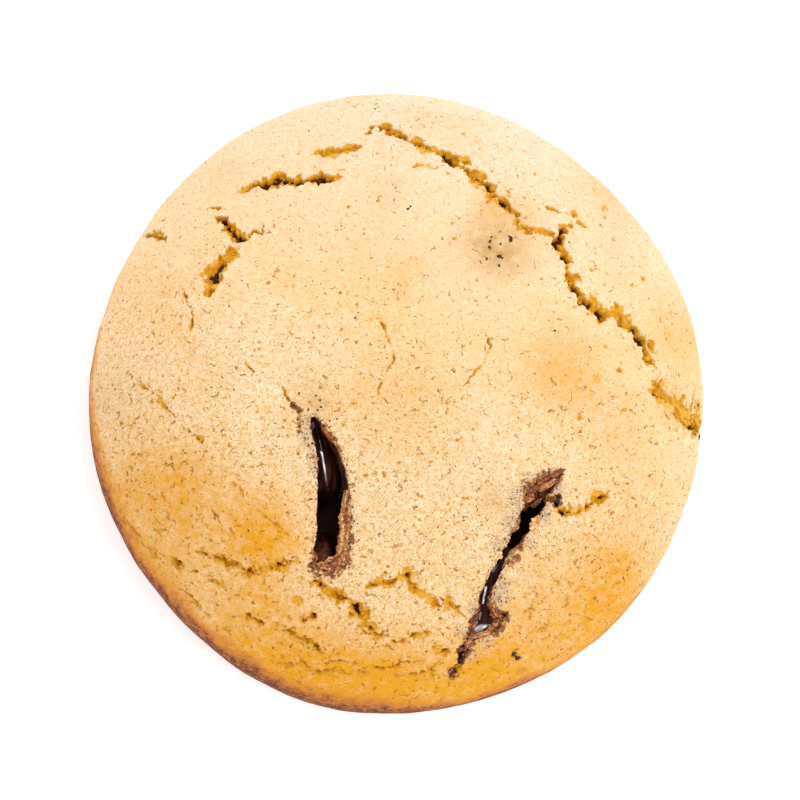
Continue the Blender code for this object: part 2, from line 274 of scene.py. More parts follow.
# Hairlines: half width, depth, route. The ones wider than the finest are broken into strings of pits
FINEST = 0.18
HAIRLINES = (
    (0.14, 0.5, ((-2.6, 11.4), (-0.8, 6.9), (-0.4, 5.6), (-1.7, 3.1), (-2.9, 0.6))),
    (0.14, 0.5, ((11.3, 9.1), (12.1, 7.3), (10.7, 4.7), (8.1, 1.8))),
    (0.16, 0.6, ((-15, 2.1), (-14.4, 1.4), (-13.5, -0.4), (-12.6, -1), (-12.6, -3.1), (-12.5, -4))),
    (0.12, 0.4, ((-32.4, 21.8), (-31.2, 21.1), (-30, 20.7))),
    (0.2, 0.7, ((14.8, -32.5), (16, -33.2))),
    (0.25, 0.8, ((19.1, 25.4), (21.5, 24.6), (22.2, 24.1))),
    (0.2, 0.6, ((26.5, 25.9), (27, 23.7))),
    (0.25, 0.8, ((5.3, -25.5), (6.5, -25.9), (8.1, -27.3))),
    (0.3, 0.8, ((21.9, 22.7), (23.6, 23.3), (24.4, 22.5))),
    (0.2, 0.8, ((-19.5, 21.2), (-18.5, 22.1), (-17.6, 21.8), (-17.4, 23.1))),
    (0.2, 0.7, ((-24.2, 25.2), (-22.8, 25))),
    (0.22, 0.6, ((1.9, 30.4), (2.7, 30.7), (4, 30.3), (4.9, 29.9))),
    (0.3, 0.7, ((-34.9, -15.4), (-33.9, -16.6), (-32.6, -18.6), (-30.2, -20.9))),
    (0.2, 0.6, ((-31.6, -16.5), (-30, -16.6), (-28.9, -17))),
    (0.3, 0.7, ((-24.4, -22.9), (-23.4, -23.5), (-22.5, -24))),
    (0.28, 0.9, ((-15.6, -29.2), (-13.6, -29.6), (-12.7, -30.4), (-11.2, -30.9), (-9.6, -32.3))),
    (0.3, 0.7, ((-15.7, -33.9), (-12.1, -33.7), (-10.5, -34.7), (-7, -34.8), (-3.6, -35.1))),
    (0.2, 0.6, ((-21.6, -10.6), (-20.4, -11.4), (-19.8, -12.8))),
    (0.2, 0.4, ((-18.6, -14), (-16.2, -15.6), (-13.9, -17.3))),
    (0.3, 0.9, ((-3.4, -34.1), (-1, -34.3), (1, -33.6), (2.6, -33.4))),
    (0.28, 0.9, ((0.2, -35.3), (2.6, -35.2), (5.4, -34.7))), (0.35, 0.9, ((4.3, -32), (6.7, -32.4))),
    (0.3, 0.9, ((1.1, -30), (2.8, -30), (4.1, -29.6))), (0.28, 0.9, ((-0.8, -31.2), (0.9, -30.7))),
    (0.4, 0.8, ((-5.4, -28.9), (-4.2, -29.7), (-1.7, -30))), (0.25, 0.8, ((-8.8, -33.2), (-5.4, -33.7))),
    (0.22, 0.7, ((16.2, -27.2), (17.7, -26.8))), (0.18, 0.7, ((17.9, -29.8), (19.4, -29))),
    (0.3, 0.9, ((-27.6, -24.2), (-26, -25.6), (-24.2, -27.8))),
    (0.3, 0.9, ((-19.8, -27.4), (-17.2, -28.6))),
    (0.3, 0.9, ((-29.2, -20.2), (-27.4, -21.6), (-25.6, -22))),
    (0.3, 0.9, ((-12.6, -28), (-10.4, -27.4))),
    (0.2, 0.8, ((-33.5, 2.4), (-31.2, 1), (-29.6, -1))), (0.2, 0.7, ((-27, -3.4), (-25.2, -5.6))),
    (0.16, 0.7, ((-27.8, 14.6), (-26.6, 11.2), (-26.9, 8.8))), (0.16, 0.7, ((-20, 5), (-18.4, 3.6))),
)
# Pockets where a bit of crust has fallen out: u, v, radius, depth
POCKETS = (
    (8.7, 31.1, 0.9, 0.9), (10.8, 29.2, 0.8, 1), (11.8, 27.6, 0.6, 0.9), (17.4, 22.5, 0.7, 1),
    (14.7, 21.1, 0.25, 0.8), (12, 20.7, 0.15, 0.5), (12, 19.9, 0.15, 0.5), (13.5, 19.2, 0.25, 0.6),
    (-22.8, 17.3, 0.8, 0.9), (-20.2, 21.3, 0.6, 0.8), (-16.5, 28.2, 0.7, 0.9), (-10, 32.2, 0.8, 0.7),
    (22.9, 24.3, 0.6, 0.8), (27, 25.4, 0.6, 0.7), (32.9, 7.3, 0.8, 1.2), (34.6, 0.6, 0.9, 1),
    (-5.7, -26, 0.5, 0.5), (-10.6, -23, 0.55, 1.5), (26.3, -12.8, 0.6, 0.8), (-22.6, -20.2, 0.6, 0.8),
    (11.8, -27.6, 0.8, 1.3), (12.6, -27.8, 0.8, 1.4), (13.3, -27.8, 0.7, 1.3), (13.9, -27.7, 0.45, 1.1),
    (12.4, -28.6, 0.8, 1.4), (13, -28.7, 0.55, 1.2), (12.5, -29.4, 0.5, 1.2), (11.7, -28.8, 0.7, 1.3),
    (18, -10.6, 0.9, 1), (16.9, -12, 0.8, 0.8), (19.5, -12.4, 0.4, 1.2), (20.1, -12.6, 0.4, 1.4),
    (20.7, -12.6, 0.5, 1.5), (20.5, -13.3, 0.4, 1.2), (8.9, -32, 0.3, 1.5), (8.2, -33, 0.35, 1.6),
    (7.4, -34.6, 0.4, 1.5), (6.9, -35.3, 0.3, 1.4), (-12.6, -1.3, 0.3, 1.2), (-12.2, -1, 0.25, 1.1),
    (-13.3, -0.4, 0.3, 1.3), (39.6, -3.2, 0.7, 1.6), (14.95, -32.5, 0.4, 1.2), (15.5, -33.1, 0.35, 1),
    (15.8, -34.9, 0.7, 0.6), (-22.2, -29.3, 0.4, 0.5), (6.3, -25.6, 0.5, 0.8), (7.6, -26.7, 0.45, 0.8),
    (-12.9, -25.6, 0.65, 0.7), (-8, -24.9, 0.5, 0.8), (-6, -27.3, 0.6, 0.7), (-22, -29.2, 0.5, 0.5),
)
# Small golden flecks where a crumb of the skin has come away
FLECKS = (
    (26.8, 7, 0.35, 0.4), (28.7, 4, 0.45, 0.5), (25.7, 2.9, 0.45, 0.4), (23.4, -2.1, 0.4, 0.4),
    (29.1, -1.2, 0.4, 0.4), (31.9, 16, 0.35, 0.5), (30.4, 15.1, 0.3, 0.5), (25.1, 17, 0.3, 0.4),
    (10, 33.9, 0.35, 0.3), (8.5, 34.8, 0.3, 0.3), (14.4, 26.7, 0.4, 0.4), (14.3, 27.3, 0.3, 0.4),
    (2, 30.4, 0.3, 0.4), (4.9, 30.2, 0.3, 0.4), (-34.2, -8.6, 0.35, 0.4), (-26.4, -11.6, 0.35, 0.4),
    (-23.7, -15.2, 0.35, 0.4), (-35.2, -15.5, 0.4, 0.5), (-34.3, -16.4, 0.4, 0.5), (-32.9, -18.2, 0.35, 0.4),
    (-31.3, -19.2, 0.35, 0.4), (-27.7, -6.4, 0.25, 0.5), (-18.1, -1.3, 0.25, 0.4), (-10.4, -23.1, 0.4, 0.8),
    (16.9, -26.9, 0.5, 0.3), (24.5, -24.5, 0.4, 0.3), (20.5, -19.8, 0.3, 0.3), (3.2, 13.6, 0.2, 0.4),
    (-5.3, 12.6, 0.2, 0.4), (7.3, 21.1, 0.25, 0.4), (-13.7, 20.8, 0.25, 0.4), (28, 21, 0.3, 0.4),
    (21.3, 21.9, 0.4, 0.5), (-6.4, 25.2, 0.25, 0.4), (17.8, 29.5, 0.25, 0.3), (-20.4, 9.5, 0.2, 0.3),
    (-7, -3, 0.2, 0.3), (11.6, 13.6, 0.25, 0.4), (10.3, 15.8, 0.25, 0.4), (-29, 0.5, 0.25, 0.4),
)
# The rest are smaller, and lie mostly in the lower left of the plan
FLECK_COUNT = 130
FLECKS_WITHIN = 37.5
luck = random.Random(11)
flecks = list(FLECKS)
while len(flecks) < FLECK_COUNT:
    u, v = luck.uniform(-38, 38), luck.uniform(-38, 38)
    low = 0.5 - (0.5 * u + 0.866 * v) / 80
    if math.hypot(u, v) < FLECKS_WITHIN and luck.random() < low ** 2.6:
        flecks.append((u, v, luck.uniform(0.1, 0.26), luck.uniform(0.3, 0.7)))


def trail(points, half_width, depth, flank, broken, seed):
    """Points along a wandering tear: x, y, z, half width, depth, right-hand direction, flank width."""
    at, ends, spine = walk(points, TRAIL_STEP)
    across = rightward(spine)
    spine += across * (
        0.34 * MM * noise_along(at, 1.2 * MM, seed) + 0.2 * MM * noise_along(at, 0.5 * MM, seed))[:, None]
    taper = np.clip(0.25 + np.minimum(at, ends[-1] - at) / (CRACK_TAPER * ends[-1]), 0, 1)
    beads = 0.9 * noise_along(at, 1.3 * MM, seed + 1) + 0.4 * noise_along(at, 0.5 * MM, seed + 2)
    beads = 1 + broken * beads
    depths = 0.9 + 1.3 * noise_along(at, 1.3 * MM, seed + 3)
    flanks = 1 + 1.6 * noise_along(at, 1.5 * MM, seed + 4)
    return np.column_stack((
        spine, crust_height(spine),
        half_width * MM * taper * np.clip(beads, 0.1, 1.9),
        depth * MM * taper * np.clip(depths, 0.3, 1.35),
        across * np.sign(flank), abs(flank) * MM * taper * np.clip(flanks, 0.1, 1.7)))


def spots_of(marks):
    """The same row of numbers for each single pocket or fleck."""
    places = on_crust(marks)
    return np.column_stack((
        places, crust_height(places), [radius * MM for _, _, radius, _ in marks],
        [depth * MM for *_, depth in marks], np.zeros((len(marks), 3))))


tears = []
for seed, (half_width, depth, _, flank, broken, points) in enumerate(CRACKS.values()):
    tears.append(trail(points, half_width, depth, flank, broken, seed))
for seed, (half_width, depth, points) in enumerate(HAIRLINES):
    tears.append(trail(points, half_width, depth, 0, 1.6 if half_width < FINEST else 3.0, 40 + seed))
tears += [spots_of(POCKETS), spots_of(flecks)]
tears = np.concatenate(tears)


def tree_of(places):
    tree = kdtree.KDTree(len(places))
    for i, place in enumerate(places):
        tree.insert(place, i)
    tree.balance()
    return tree


tear_tree = tree_of(tears[:, :3])


def nearest_in(tree, places):
    """Index and distance of the nearest point of a tree, for each place."""
    found = [tree.find(place)[1:] for place in places]
    return np.array([index for index, _ in found]), np.array([away for _, away in found])


# The two lips of each split, drawn along its route
OUTLINE_STEP = 0.25 * MM
OUTLINE_RAG = {"west": 0.12 * MM, "east": 0.34 * MM}
# How often the route and the widths are evened out, so that their corners don't show
ROUTE_PASSES = 24
WIDTH_PASSES = 4


def split_sides(split, rag_size, seed):
    """Evenly spaced places down the right lip and down the left lip of a split, as the plan shows them."""
    at, ends, spine = walk(split, OUTLINE_STEP)
    halves = np.interp(at, ends, [half * MM for _, _, half in split])
    for _ in range(ROUTE_PASSES):
        spine[1:-1] = (spine[:-2] + 2 * spine[1:-1] + spine[2:]) / 4
    for _ in range(WIDTH_PASSES):
        halves[1:-1] = (halves[:-2] + 2 * halves[1:-1] + halves[2:]) / 4
    across = rightward(spine)
    sides = []
    for side, own_seed in ((-1, seed), (1, seed + 5)):
        rag = rag_size * (noise_along(at, 1.1 * MM, own_seed) + 0.7 * noise_along(at, 0.5 * MM, own_seed))
        rag *= np.clip(halves / (1 * MM), 0, 1)
        sides.append(spine + across * (side * (halves + rag))[:, None])
    return sides


SPLIT_SIDES = {
    name: split_sides(split, OUTLINE_RAG[name], 60 + 10 * i)
    for i, (name, split) in enumerate(SPLITS.items())}
lips = np.concatenate([side for sides in SPLIT_SIDES.values() for side in sides])
lips = np.column_stack((lips, crust_height(lips)))
lip_tree = tree_of(lips)

# How fine the crust's mesh is: wanted edge length by distance from the nearest tear or lip
FINE_BY_DISTANCE = ((0.12 * MM, 0.42 * MM, 0.95 * MM, 2.3 * MM), (0.215 * MM, 0.34 * MM, 0.62 * MM, 1.1 * MM))
FOOT_EDGE = 0.9 * MM
BASE_EDGE = 1.8 * MM
MOST_SPLITS = 5


def corners_of(verts):
    return np.array([vert.co for vert in verts])


def positions(directions):
    """The crust's points, with lobes and steps, in the directions of unit vectors."""
    rim = outline_radius(np.arctan2(directions[:, 1], directions[:, 0]))
    places = directions[:, :2] * rim[:, None]
    above = directions[:, 2] >= 0
    heights = foot_height(places[:, 0], places[:, 1])
    heights[above] = crust_height(places[above])
    return np.column_stack((places, heights))


def refined_ball():
    """A ball of unit vectors, split more finely where the crust is torn."""
    ball = bmesh.new()
    bmesh.ops.create_icosphere(ball, subdivisions=5, radius=1)
    for _ in range(MOST_SPLITS):
        directions = corners_of(ball.verts)
        ends = np.array([[vert.index for vert in edge.verts] for edge in ball.edges])
        points = positions(directions)
        lengths = np.linalg.norm(points[ends[:, 0]] - points[ends[:, 1]], axis=1)
        middles = (points[ends[:, 0]] + points[ends[:, 1]]) / 2
        long_ones = np.nonzero(lengths > FINE_BY_DISTANCE[1][0])[0]
        index, to_tear = nearest_in(tear_tree, middles[long_ones])
        _, to_lip = nearest_in(lip_tree, middles[long_ones])
        away = np.minimum(to_tear - tears[index, 3] - 0.6 * tears[index, 7], to_lip)
        wanted = np.interp(away, *FINE_BY_DISTANCE)
        below = directions[ends[long_ones]].max(axis=1)[:, 2] <= 0
        flat = middles[long_ones][:, 2] < TINY
        wanted = np.where(flat, BASE_EDGE, np.where(below, FOOT_EDGE, wanted))
        chosen = long_ones[lengths[long_ones] > wanted]
        if not len(chosen):
            break
        ball.edges.ensure_lookup_table()
        bmesh.ops.subdivide_edges(ball, edges=[ball.edges[i] for i in chosen], cuts=1)
        bmesh.ops.triangulate(ball, faces=ball.faces[:], quad_method="SHORT_EDGE")
        for vert in ball.verts:
            vert.co.normalize()
    return ball


SWELLS = ((5 * MM, 0.12 * MM), (1.8 * MM, 0.05 * MM), (0.8 * MM, 0.025 * MM))
LIP_ROUND = 0.7 * MM
LIP_DROP = 0.22 * MM
CRUMB = 0.62 * MM
CRUMB_ROUND = 0.12 * MM
FLANK_DEPTH = 0.6 * MM


def crumbs_near(places):
    """For each place: the middle of the crumb it is part of, how far inside it lies, and the crumb's luck."""
    middles = np.empty((len(places), 3))
    inner = np.empty(len(places))
    luck = np.empty(len(places))
    for i, place in enumerate(places):
        away, near = noise.voronoi(Vector(place) / CRUMB)
        middles[i] = near[0] * CRUMB
        inner[i] = away[1] - away[0]
        luck[i] = noise.noise(near[0] * 17.7)
    return middles, np.clip(inner / 0.45, 0, 1), np.clip(0.5 + 0.9 * luck, 0, 1)


def torn_depth(points):
    """How far the cracks, hairlines and pockets cut below the crust, crumb by crumb."""
    index, away = nearest_in(tear_tree, points)
    half, depth = tears[index, 3], tears[index, 4]
    cut = np.zeros(len(points))
    close = np.nonzero(away < half * 1.5 + 0.6 * MM + tears[index, 7])[0]
    spots, half, depth = points[close], half[close], depth[close]
    middles, inner, luck = crumbs_near(spots)
    crumb_index, crumb_away = nearest_in(tear_tree, middles)
    by_crumb = 0.75 * np.clip((half - 0.2 * MM) / (0.3 * MM), 0, 1)
    ragged = 0.10 * MM * noise_at(spots, 0.35 * MM, 6)
    reach = (by_crumb * crumb_away + (1 - by_crumb) * away[close] + ragged) / half
    shoulder = 1 - smooth_steps(0.88, 1.12, reach)
    gap = 1 - smooth_steps(0.3, 0.55, reach + 0.6 * (luck - 0.5))
    share = shoulder * (0.14 + 0.3 * luck) + gap * 0.6
    nearest = tears[crumb_index]
    beside = np.einsum("ij,ij->i", middles[:, :2] - nearest[:, :2], nearest[:, 5:7])
    flank = np.where(beside > 0, 1 - crumb_away / np.maximum(nearest[:, 7], 1e-6), 0)
    flank = smooth_steps(0.0, 0.55, flank - 0.3 * (1 - luck)) * (0.25 + 0.9 * luck)
    cut[close] = np.maximum(depth * share + shoulder * CRUMB_ROUND * (1 - inner), FLANK_DEPTH * flank)
    return cut


def relief(points):
    """How far the crust stands out from its smooth form, and how deep it is torn."""
    swell = sum(height * noise_at(points, size, 20 + i) for i, (size, height) in enumerate(SWELLS))
    cut = torn_depth(points)
    _, to_lip = nearest_in(lip_tree, points)
    drop = LIP_DROP * (1 - smooth_steps(0, LIP_ROUND, to_lip))
    return swell - cut - drop, cut


def object_from(shape, name):
    mesh = bpy.data.meshes.new(name)
    shape.to_mesh(mesh)
    shape.free()
    piece = bpy.data.objects.new(name, mesh)
    bpy.context.scene.collection.objects.link(piece)
    return piece


crust = refined_ball()
for vert, point in zip(crust.verts, positions(corners_of(crust.verts))):
    vert.co = point
crust.normal_update()
smooth_points = corners_of(crust.verts)
smooth_normals = np.array([vert.normal for vert in crust.verts])
smooth_tree = tree_of(smooth_points)
baked_dough = object_from(crust, "baked_dough")

# The two splits and the hollow under them are cut out of the crust as one ragged block
CUT_ABOVE = 1.5 * MM
CUT_STEP = 0.4 * MM
WALL_RAG = 0.16 * MM


def split_block(name, seed):
    """The empty space of a split, from above the crust down into the hollow."""
    right, left = SPLIT_SIDES[name]
    loop = np.concatenate((right, left[::-1]))
    spine = (right + left) / 2
    spine = np.concatenate((spine, spine[::-1]))
    tops = crust_height(loop)
    block = bmesh.new()
    verts = [block.verts.new((x, y, z + CUT_ABOVE)) for (x, y), z in zip(loop, tops)]
    edges = [block.edges.new((a, b)) for a, b in zip(verts, verts[1:] + verts[:1])]
    block.faces.new(verts)
    levels = int((tops.max() - SPLIT_FLOOR) / CUT_STEP)
    for level in range(levels + 1):
        grown = bmesh.ops.extrude_edge_only(block, edges=edges)["geom"]
        edges = [part for part in grown if isinstance(part, bmesh.types.BMEdge)]
        verts = [part for part in grown if isinstance(part, bmesh.types.BMVert)]
        share = level / levels
        z = tops + (SPLIT_FLOOR - tops) * share
        narrow = 1 - (1 - SPLIT_NARROWS_TO) * share
        places = spine + (loop - spine) * narrow
        spots = np.column_stack((places, z))
        out = loop - spine
        halves = np.linalg.norm(out, axis=1)
        out *= (np.clip(halves / (1.2 * MM), 0, 1) / halves)[:, None]
        rag = WALL_RAG * (noise_at(spots, 1.1 * MM, seed) + 0.7 * noise_at(spots, 0.45 * MM, seed + 1))
        places = places + out * (rag * min(1, share * levels / 2))[:, None]
        for vert, (x, y), height in zip(verts, places, z):
            vert.co = (x, y, height)
    bmesh.ops.contextual_create(block, geom=edges)
    bmesh.ops.recalc_face_normals(block, faces=block.faces[:])
    bmesh.ops.triangulate(block, faces=block.faces[:])
    return object_from(block, name + "_split_block")


def pool_block(grow, name):
    pool = bmesh.new()
    bmesh.ops.create_icosphere(pool, subdivisions=5, radius=1)
    bmesh.ops.scale(pool, vec=POOL_RADII + Vector((grow, grow, grow)), verts=pool.verts)
    bmesh.ops.translate(pool, vec=POOL_MIDDLE, verts=pool.verts)
    return object_from(pool, name)


def combine(piece, other, operation):
    """Add or take away another solid, which is then removed."""
    step = piece.modifiers.new(operation.title(), "BOOLEAN")
    step.operation = operation
    step.object = other
    step.solver = "EXACT"
    graph = bpy.context.evaluated_depsgraph_get()
    mesh = bpy.data.meshes.new_from_object(piece.evaluated_get(graph))
    piece.modifiers.clear()
    old = piece.data
    piece.data = mesh
    mesh.name = piece.name
    bpy.data.meshes.remove(old)
    bpy.data.objects.remove(other)
    return piece


hollow = pool_block(0, "hollow")
for i, name in enumerate(SPLITS):
    combine(hollow, split_block(name, 80 + 10 * i), "UNION")
combine(baked_dough, hollow, "DIFFERENCE")

# The cut dough gets its relief: swellings, cracks and rounded lips, which fade down the walls
WALL_FADE = 1.2 * MM
points = corners_of(baked_dough.data.vertices)
index, away = nearest_in(smooth_tree, points)
under = np.where(away < TINY, 0, np.clip(crust_height(points[:, :2]) - points[:, 2], 0, None))
kept = 1 - smooth_steps(0, WALL_FADE, under)
heights, cuts = relief(points)
heights *= kept
heights[points[:, 2] < TINY] = 0
points += smooth_normals[index] * heights[:, None]
points[:, 2] = np.maximum(points[:, 2], 0)
baked_dough.data.vertices.foreach_set("co", points.ravel())
baked_dough.data.shade_smooth()

# Where the crust is golden, stained by the chocolate (with one patch of painted shade by the left rim) or
# dusty with crumbs: u, v, radius, strength
GOLDEN_PATCHES = (
    (-27.4, -11.2, 5.5, 0.65), (-18.5, -17, 5.5, 0.85), (-15.6, -18.4, 2.6, 0.6), (-35, -12, 7, 0.4),
    (21.3, 4.4, 6, 0.55), (26.2, -27.6, 6.5, 0.85), (-1, -37.6, 5.5, 1), (-14, -34.6, 6, 0.9),
    (12, -36.7, 6.5, 1), (-31, -21, 7, 0.5), (-18, -28.5, 6, 0.25),
    (31, -18, 7, 0.3), (16.5, -26.5, 4, 0.3), (35.5, -0.5, 2.5, 0.6), (0.5, 0.5, 7, 0.4),
    (-29.4, 8.3, 6, 0.1), (36.5, 9.6, 6, 0.4), (28, 26.5, 6, 0.25), (-34, 14, 5, 0.2), (29, -4.7, 6, 0.3),
    (-2, 14.8, 8, 0.18), (12.5, 25.2, 2.6, 0.5), (16.5, 23.2, 3, 0.35), (20.5, -22, 4, 0.1),
    (-20.5, -30, 5, 0.6), (-7, -36.8, 5, 0.9), (6, -37.5, 4, 0.7), (20, -33, 4.5, 0.6), (29, -24.5, 4.5, 0.5),
)
STAINS_AND_SHADE = (
    (12.2, 20, 4, 0.75), (14.5, 18.5, 2.5, 0.4), (-10.3, 0.3, 2.2, 0.5), (12.5, -12.5, 2.2, 0.45),
    # Painted shade, not a stain: the crust darker and greyer by the left rim
    (-37.8, 0.5, 4.5, 0.3),
)
DUSTY = (
    (-11.9, -3.6, 1, 1), (-11.4, -5.2, 1, 1), (-11, -7, 1, 0.9), (-10.9, -8.6, 0.8, 0.7),
    (-12.1, -2.2, 0.9, 0.8), (17.3, -10.2, 1.5, 0.8), (15.7, -12.4, 1.6, 1), (14.4, -15.6, 1.3, 0.8),
    (12.9, -18.2, 1.2, 0.7), (18.9, -15, 1.3, 0.7), (17.4, -18.4, 1.1, 0.6), (20.5, -11.4, 1.2, 0.7),
    (13.4, -23.6, 1.2, 0.8), (13.4, -25.4, 1.1, 0.8), (9.6, -26.4, 0.9, 0.6), (8, -29.4, 0.9, 0.7),
    (11.6, -30.8, 1.2, 0.7), (9.6, -32.6, 1, 0.6), (-13.2, -0.2, 0.7, 0.5), (-9.4, -23.4, 1, 0.5),
)
# Heights between which the browning gives way to the pale crust
BROWNED_FROM = 5.6 * MM
BROWNED_TO = 11.4 * MM
# How much higher the browning climbs on the darkest side, away from the lamps, than across it, and the least
# it climbs; the lean is partly real browning and partly painted shade
BROWNED_AND_SHADED_LEAN = 8.6 * MM
BROWNED_AND_SHADED_DROP = 1.9 * MM
BROWNED_AND_SHADED_LEAST = -3.5 * MM


def patches_at(places, patches):
    """The strongest patch at each place, fading with distance from the patch's middle."""
    best = np.zeros(len(places))
    for middle, (_, _, radius, strength) in zip(on_crust(patches), patches):
        away = np.linalg.norm(places[:, :2] - middle, axis=1) / (radius * MM)
        best = 1 - (1 - best) * (1 - strength * np.exp(-away ** 2))
    return best


def paint(piece, name, values):
    layer = piece.data.attributes.new(name, "FLOAT", "POINT")
    layer.data.foreach_set("value", np.clip(values, 0, 1).astype(np.float32))


# Where the filling is smeared on the crust: u, v, radius, strength
SMEARS = (
    (-6.5, -15, 1, 0.8), (-6.4, -17.8, 1.1, 1), (-6.8, -20, 1.3, 1), (-8.3, -21.6, 1.3, 0.9),
    (-10.6, -21.4, 1.2, 0.9), (-8.9, -4.6, 0.9, 0.8), (-8, -5.9, 0.7, 0.6), (-11.5, -1.9, 0.6, 0.5),
    (20.2, -9.6, 1.3, 1), (18.8, -10, 1.2, 0.9), (17, -11.2, 1.2, 0.8), (18.3, -12.7, 1, 0.5),
    (15.9, -18.6, 0.8, 0.8), (15.3, -20.2, 0.8, 0.7), (12.5, -28.1, 1.4, 1), (13.8, -27.8, 0.8, 1),
    (12.6, -29.2, 1, 1), (9.8, -28.8, 1, 0.9), (9.2, -30.9, 1, 0.9), (10.7, -25.6, 0.7, 0.6),
    (8.8, -32, 0.8, 1), (8.2, -33.2, 0.6, 1), (7.1, -35, 0.8, 1), (20.3, -12.8, 1.1, 1),
    (-12.6, -2.2, 0.3, 1), (-12.6, -3, 0.3, 1), (-12.6, -1, 0.45, 1), (-13.4, -0.3, 0.5, 1),
    (-12.6, -3.8, 0.3, 0.9), (-13, -0.7, 0.4, 1),
)
# The way over the crust in which it pales, towards the lamps, and the way in which its browning sinks, also
# towards the lamps: both partly painted light and shade
PALE_TOWARDS = np.array((0.25, 0.968))
BROWNING_AND_SHADE_SINK_TOWARDS = np.array((0.42, 0.91))

_, to_lip = nearest_in(lip_tree, points)
# Paler towards the lamps: partly the crust's own pale top, partly painted light
palest = points[:, :2] @ PALE_TOWARDS / DIAMETER + 0.5
paint(baked_dough, "pale", palest)
paint(baked_dough, "smeared", patches_at(points, SMEARS))
paint(baked_dough, "torn", cuts / (2 * MM))
paint(baked_dough, "inside", smooth_steps(0.05 * MM, 0.9 * MM, under))
paint(baked_dough, "golden", patches_at(points, GOLDEN_PATCHES))
# The browning climbs higher on the side away from the lamps: partly real browning, partly painted shade
browning_and_shade_lean = -BROWNED_AND_SHADED_LEAN * (points[:, :2] @ BROWNING_AND_SHADE_SINK_TOWARDS) / DIAMETER
browning_and_shade_lean = np.maximum(browning_and_shade_lean - BROWNED_AND_SHADED_DROP, BROWNED_AND_SHADED_LEAST)
browning_and_shade_lean += 1.1 * MM * noise_at(points, 7 * MM, 31) + 0.7 * MM * noise_at(points, 2.5 * MM, 32)
paint(baked_dough, "browned_and_shaded", 1 - smooth_steps(BROWNED_FROM, BROWNED_TO, points[:, 2] - browning_and_shade_lean))
paint(baked_dough, "stained_and_shaded", patches_at(points, STAINS_AND_SHADE))
paint(baked_dough, "dusted", patches_at(points, DUSTY) + 0.4 * (1 - smooth_steps(0, 0.9 * MM, to_lip)))

# Splitting edges can leave two faces back to back, or a sliver; neither belongs to the crust
crust = bmesh.new()
crust.from_mesh(baked_dough.data)
by_corners = {}
for face in crust.faces:
    by_corners.setdefault(frozenset(face.verts), []).append(face)
twins = [face for faces in by_corners.values() if len(faces) > 1 for face in faces]
bmesh.ops.delete(crust, geom=twins, context="FACES")
bmesh.ops.dissolve_degenerate(crust, dist=TINY, edges=crust.edges[:])
crust.to_mesh(baked_dough.data)
crust.free()


class Nodes:
    """Short calls for wiring a material's nodes."""

    def __init__(self, name):
        self.material = bpy.data.materials.new(name)
        self.material.use_nodes = True
        self.tree = self.material.node_tree
        self.shader = self.tree.nodes["Principled BSDF"]

    def add(self, kind, settings=(), **inputs):
        node = self.tree.nodes.new("ShaderNode" + kind)
        for key, value in dict(settings).items():
            setattr(node, key, value)
        for key, value in inputs.items():
            self.put(node.inputs[key.replace("_", " ")], value)
        return node

    def put(self, socket, value):
        if isinstance(value, bpy.types.NodeSocket):
            self.tree.links.new(value, socket)
        else:
            socket.default_value = value

    def place(self):
        return self.add("TexCoord").outputs["Object"]

    def attribute(self, name):
        return self.add("Attribute", {"attribute_name": name}).outputs["Fac"]

    def lumps(self, vector, size, detail=2.0, roughness=0.5):
        return self.add("TexNoise", Vector=vector, Scale=1 / size, Detail=detail,
                        Roughness=roughness).outputs["Fac"]

    def cells(self, vector, size, feature="F1"):
        return self.add("TexVoronoi", {"feature": feature}, Vector=vector, Scale=1 / size,
                        Randomness=1.0).outputs["Distance"]

    def spread(self, value, low, high, to_low=0.0, to_high=1.0):
        node = self.add("MapRange", {"interpolation_type": "SMOOTHSTEP"}, Value=value, From_Min=low,
                        From_Max=high, To_Min=to_low, To_Max=to_high)
        return node.outputs["Result"]

    def several(self, kind, operation, *values):
        """A node whose inputs share one name, so they go by number."""
        node = self.add(kind, {"operation": operation})
        for socket, value in zip(node.inputs, values):
            self.put(socket, value)
        return node.outputs[0]

    def maths(self, operation, first, second):
        return self.several("Math", operation, first, second)

    def times(self, first, second):
        return self.maths("MULTIPLY", first, second)

    def plus(self, first, second):
        return self.maths("ADD", first, second)

    def less(self, first, second):
        return self.maths("SUBTRACT", first, second)

    def bump(self, height, distance, strength):
        return self.add("Bump", Strength=strength, Distance=distance, Height=height).outputs["Normal"]

    def surface(self, **inputs):
        """Settle the shader's own inputs, which finishes the material."""
        for key, value in inputs.items():
            self.put(self.shader.inputs[key.replace("_", " ")], value)
        return self.material

    def blend(self, share, first, second, kind="MIX"):
        node = self.add("Mix", {"data_type": "RGBA", "blend_type": kind})
        self.put(node.inputs["Factor"], share)
        self.put(node.inputs[6], first)
        self.put(node.inputs[7], second)
        return node.outputs[2]

    def shift(self, vector, size, amount):
        """Coordinates pushed about by noise, so that a pattern on them wanders."""
        waves = self.add("TexNoise", Vector=vector, Scale=1 / size, Detail=2).outputs["Color"]
        centred = self.several("VectorMath", "SUBTRACT", waves, (0.5, 0.5, 0.5))
        return self.several("VectorMath", "MULTIPLY_ADD", centred, (amount, amount, amount), vector)


def colour(red, green, blue):
    """A colour as the eye names it (sRGB, 0 to 255), made linear for the shader."""
    return tuple(((c / 255 + 0.055) / 1.055) ** 2.4 if c > 10 else c / 255 / 12.92
                 for c in (red, green, blue)) + (1.0,)


PALE = colour(244, 218, 184)
CREAM = colour(246, 214, 162)
SHADED_CREAM = colour(242, 210, 152)
GOLDEN = colour(222, 154, 24)
YOLK = colour(226, 168, 52)
MUSTARD = colour(208, 140, 8)
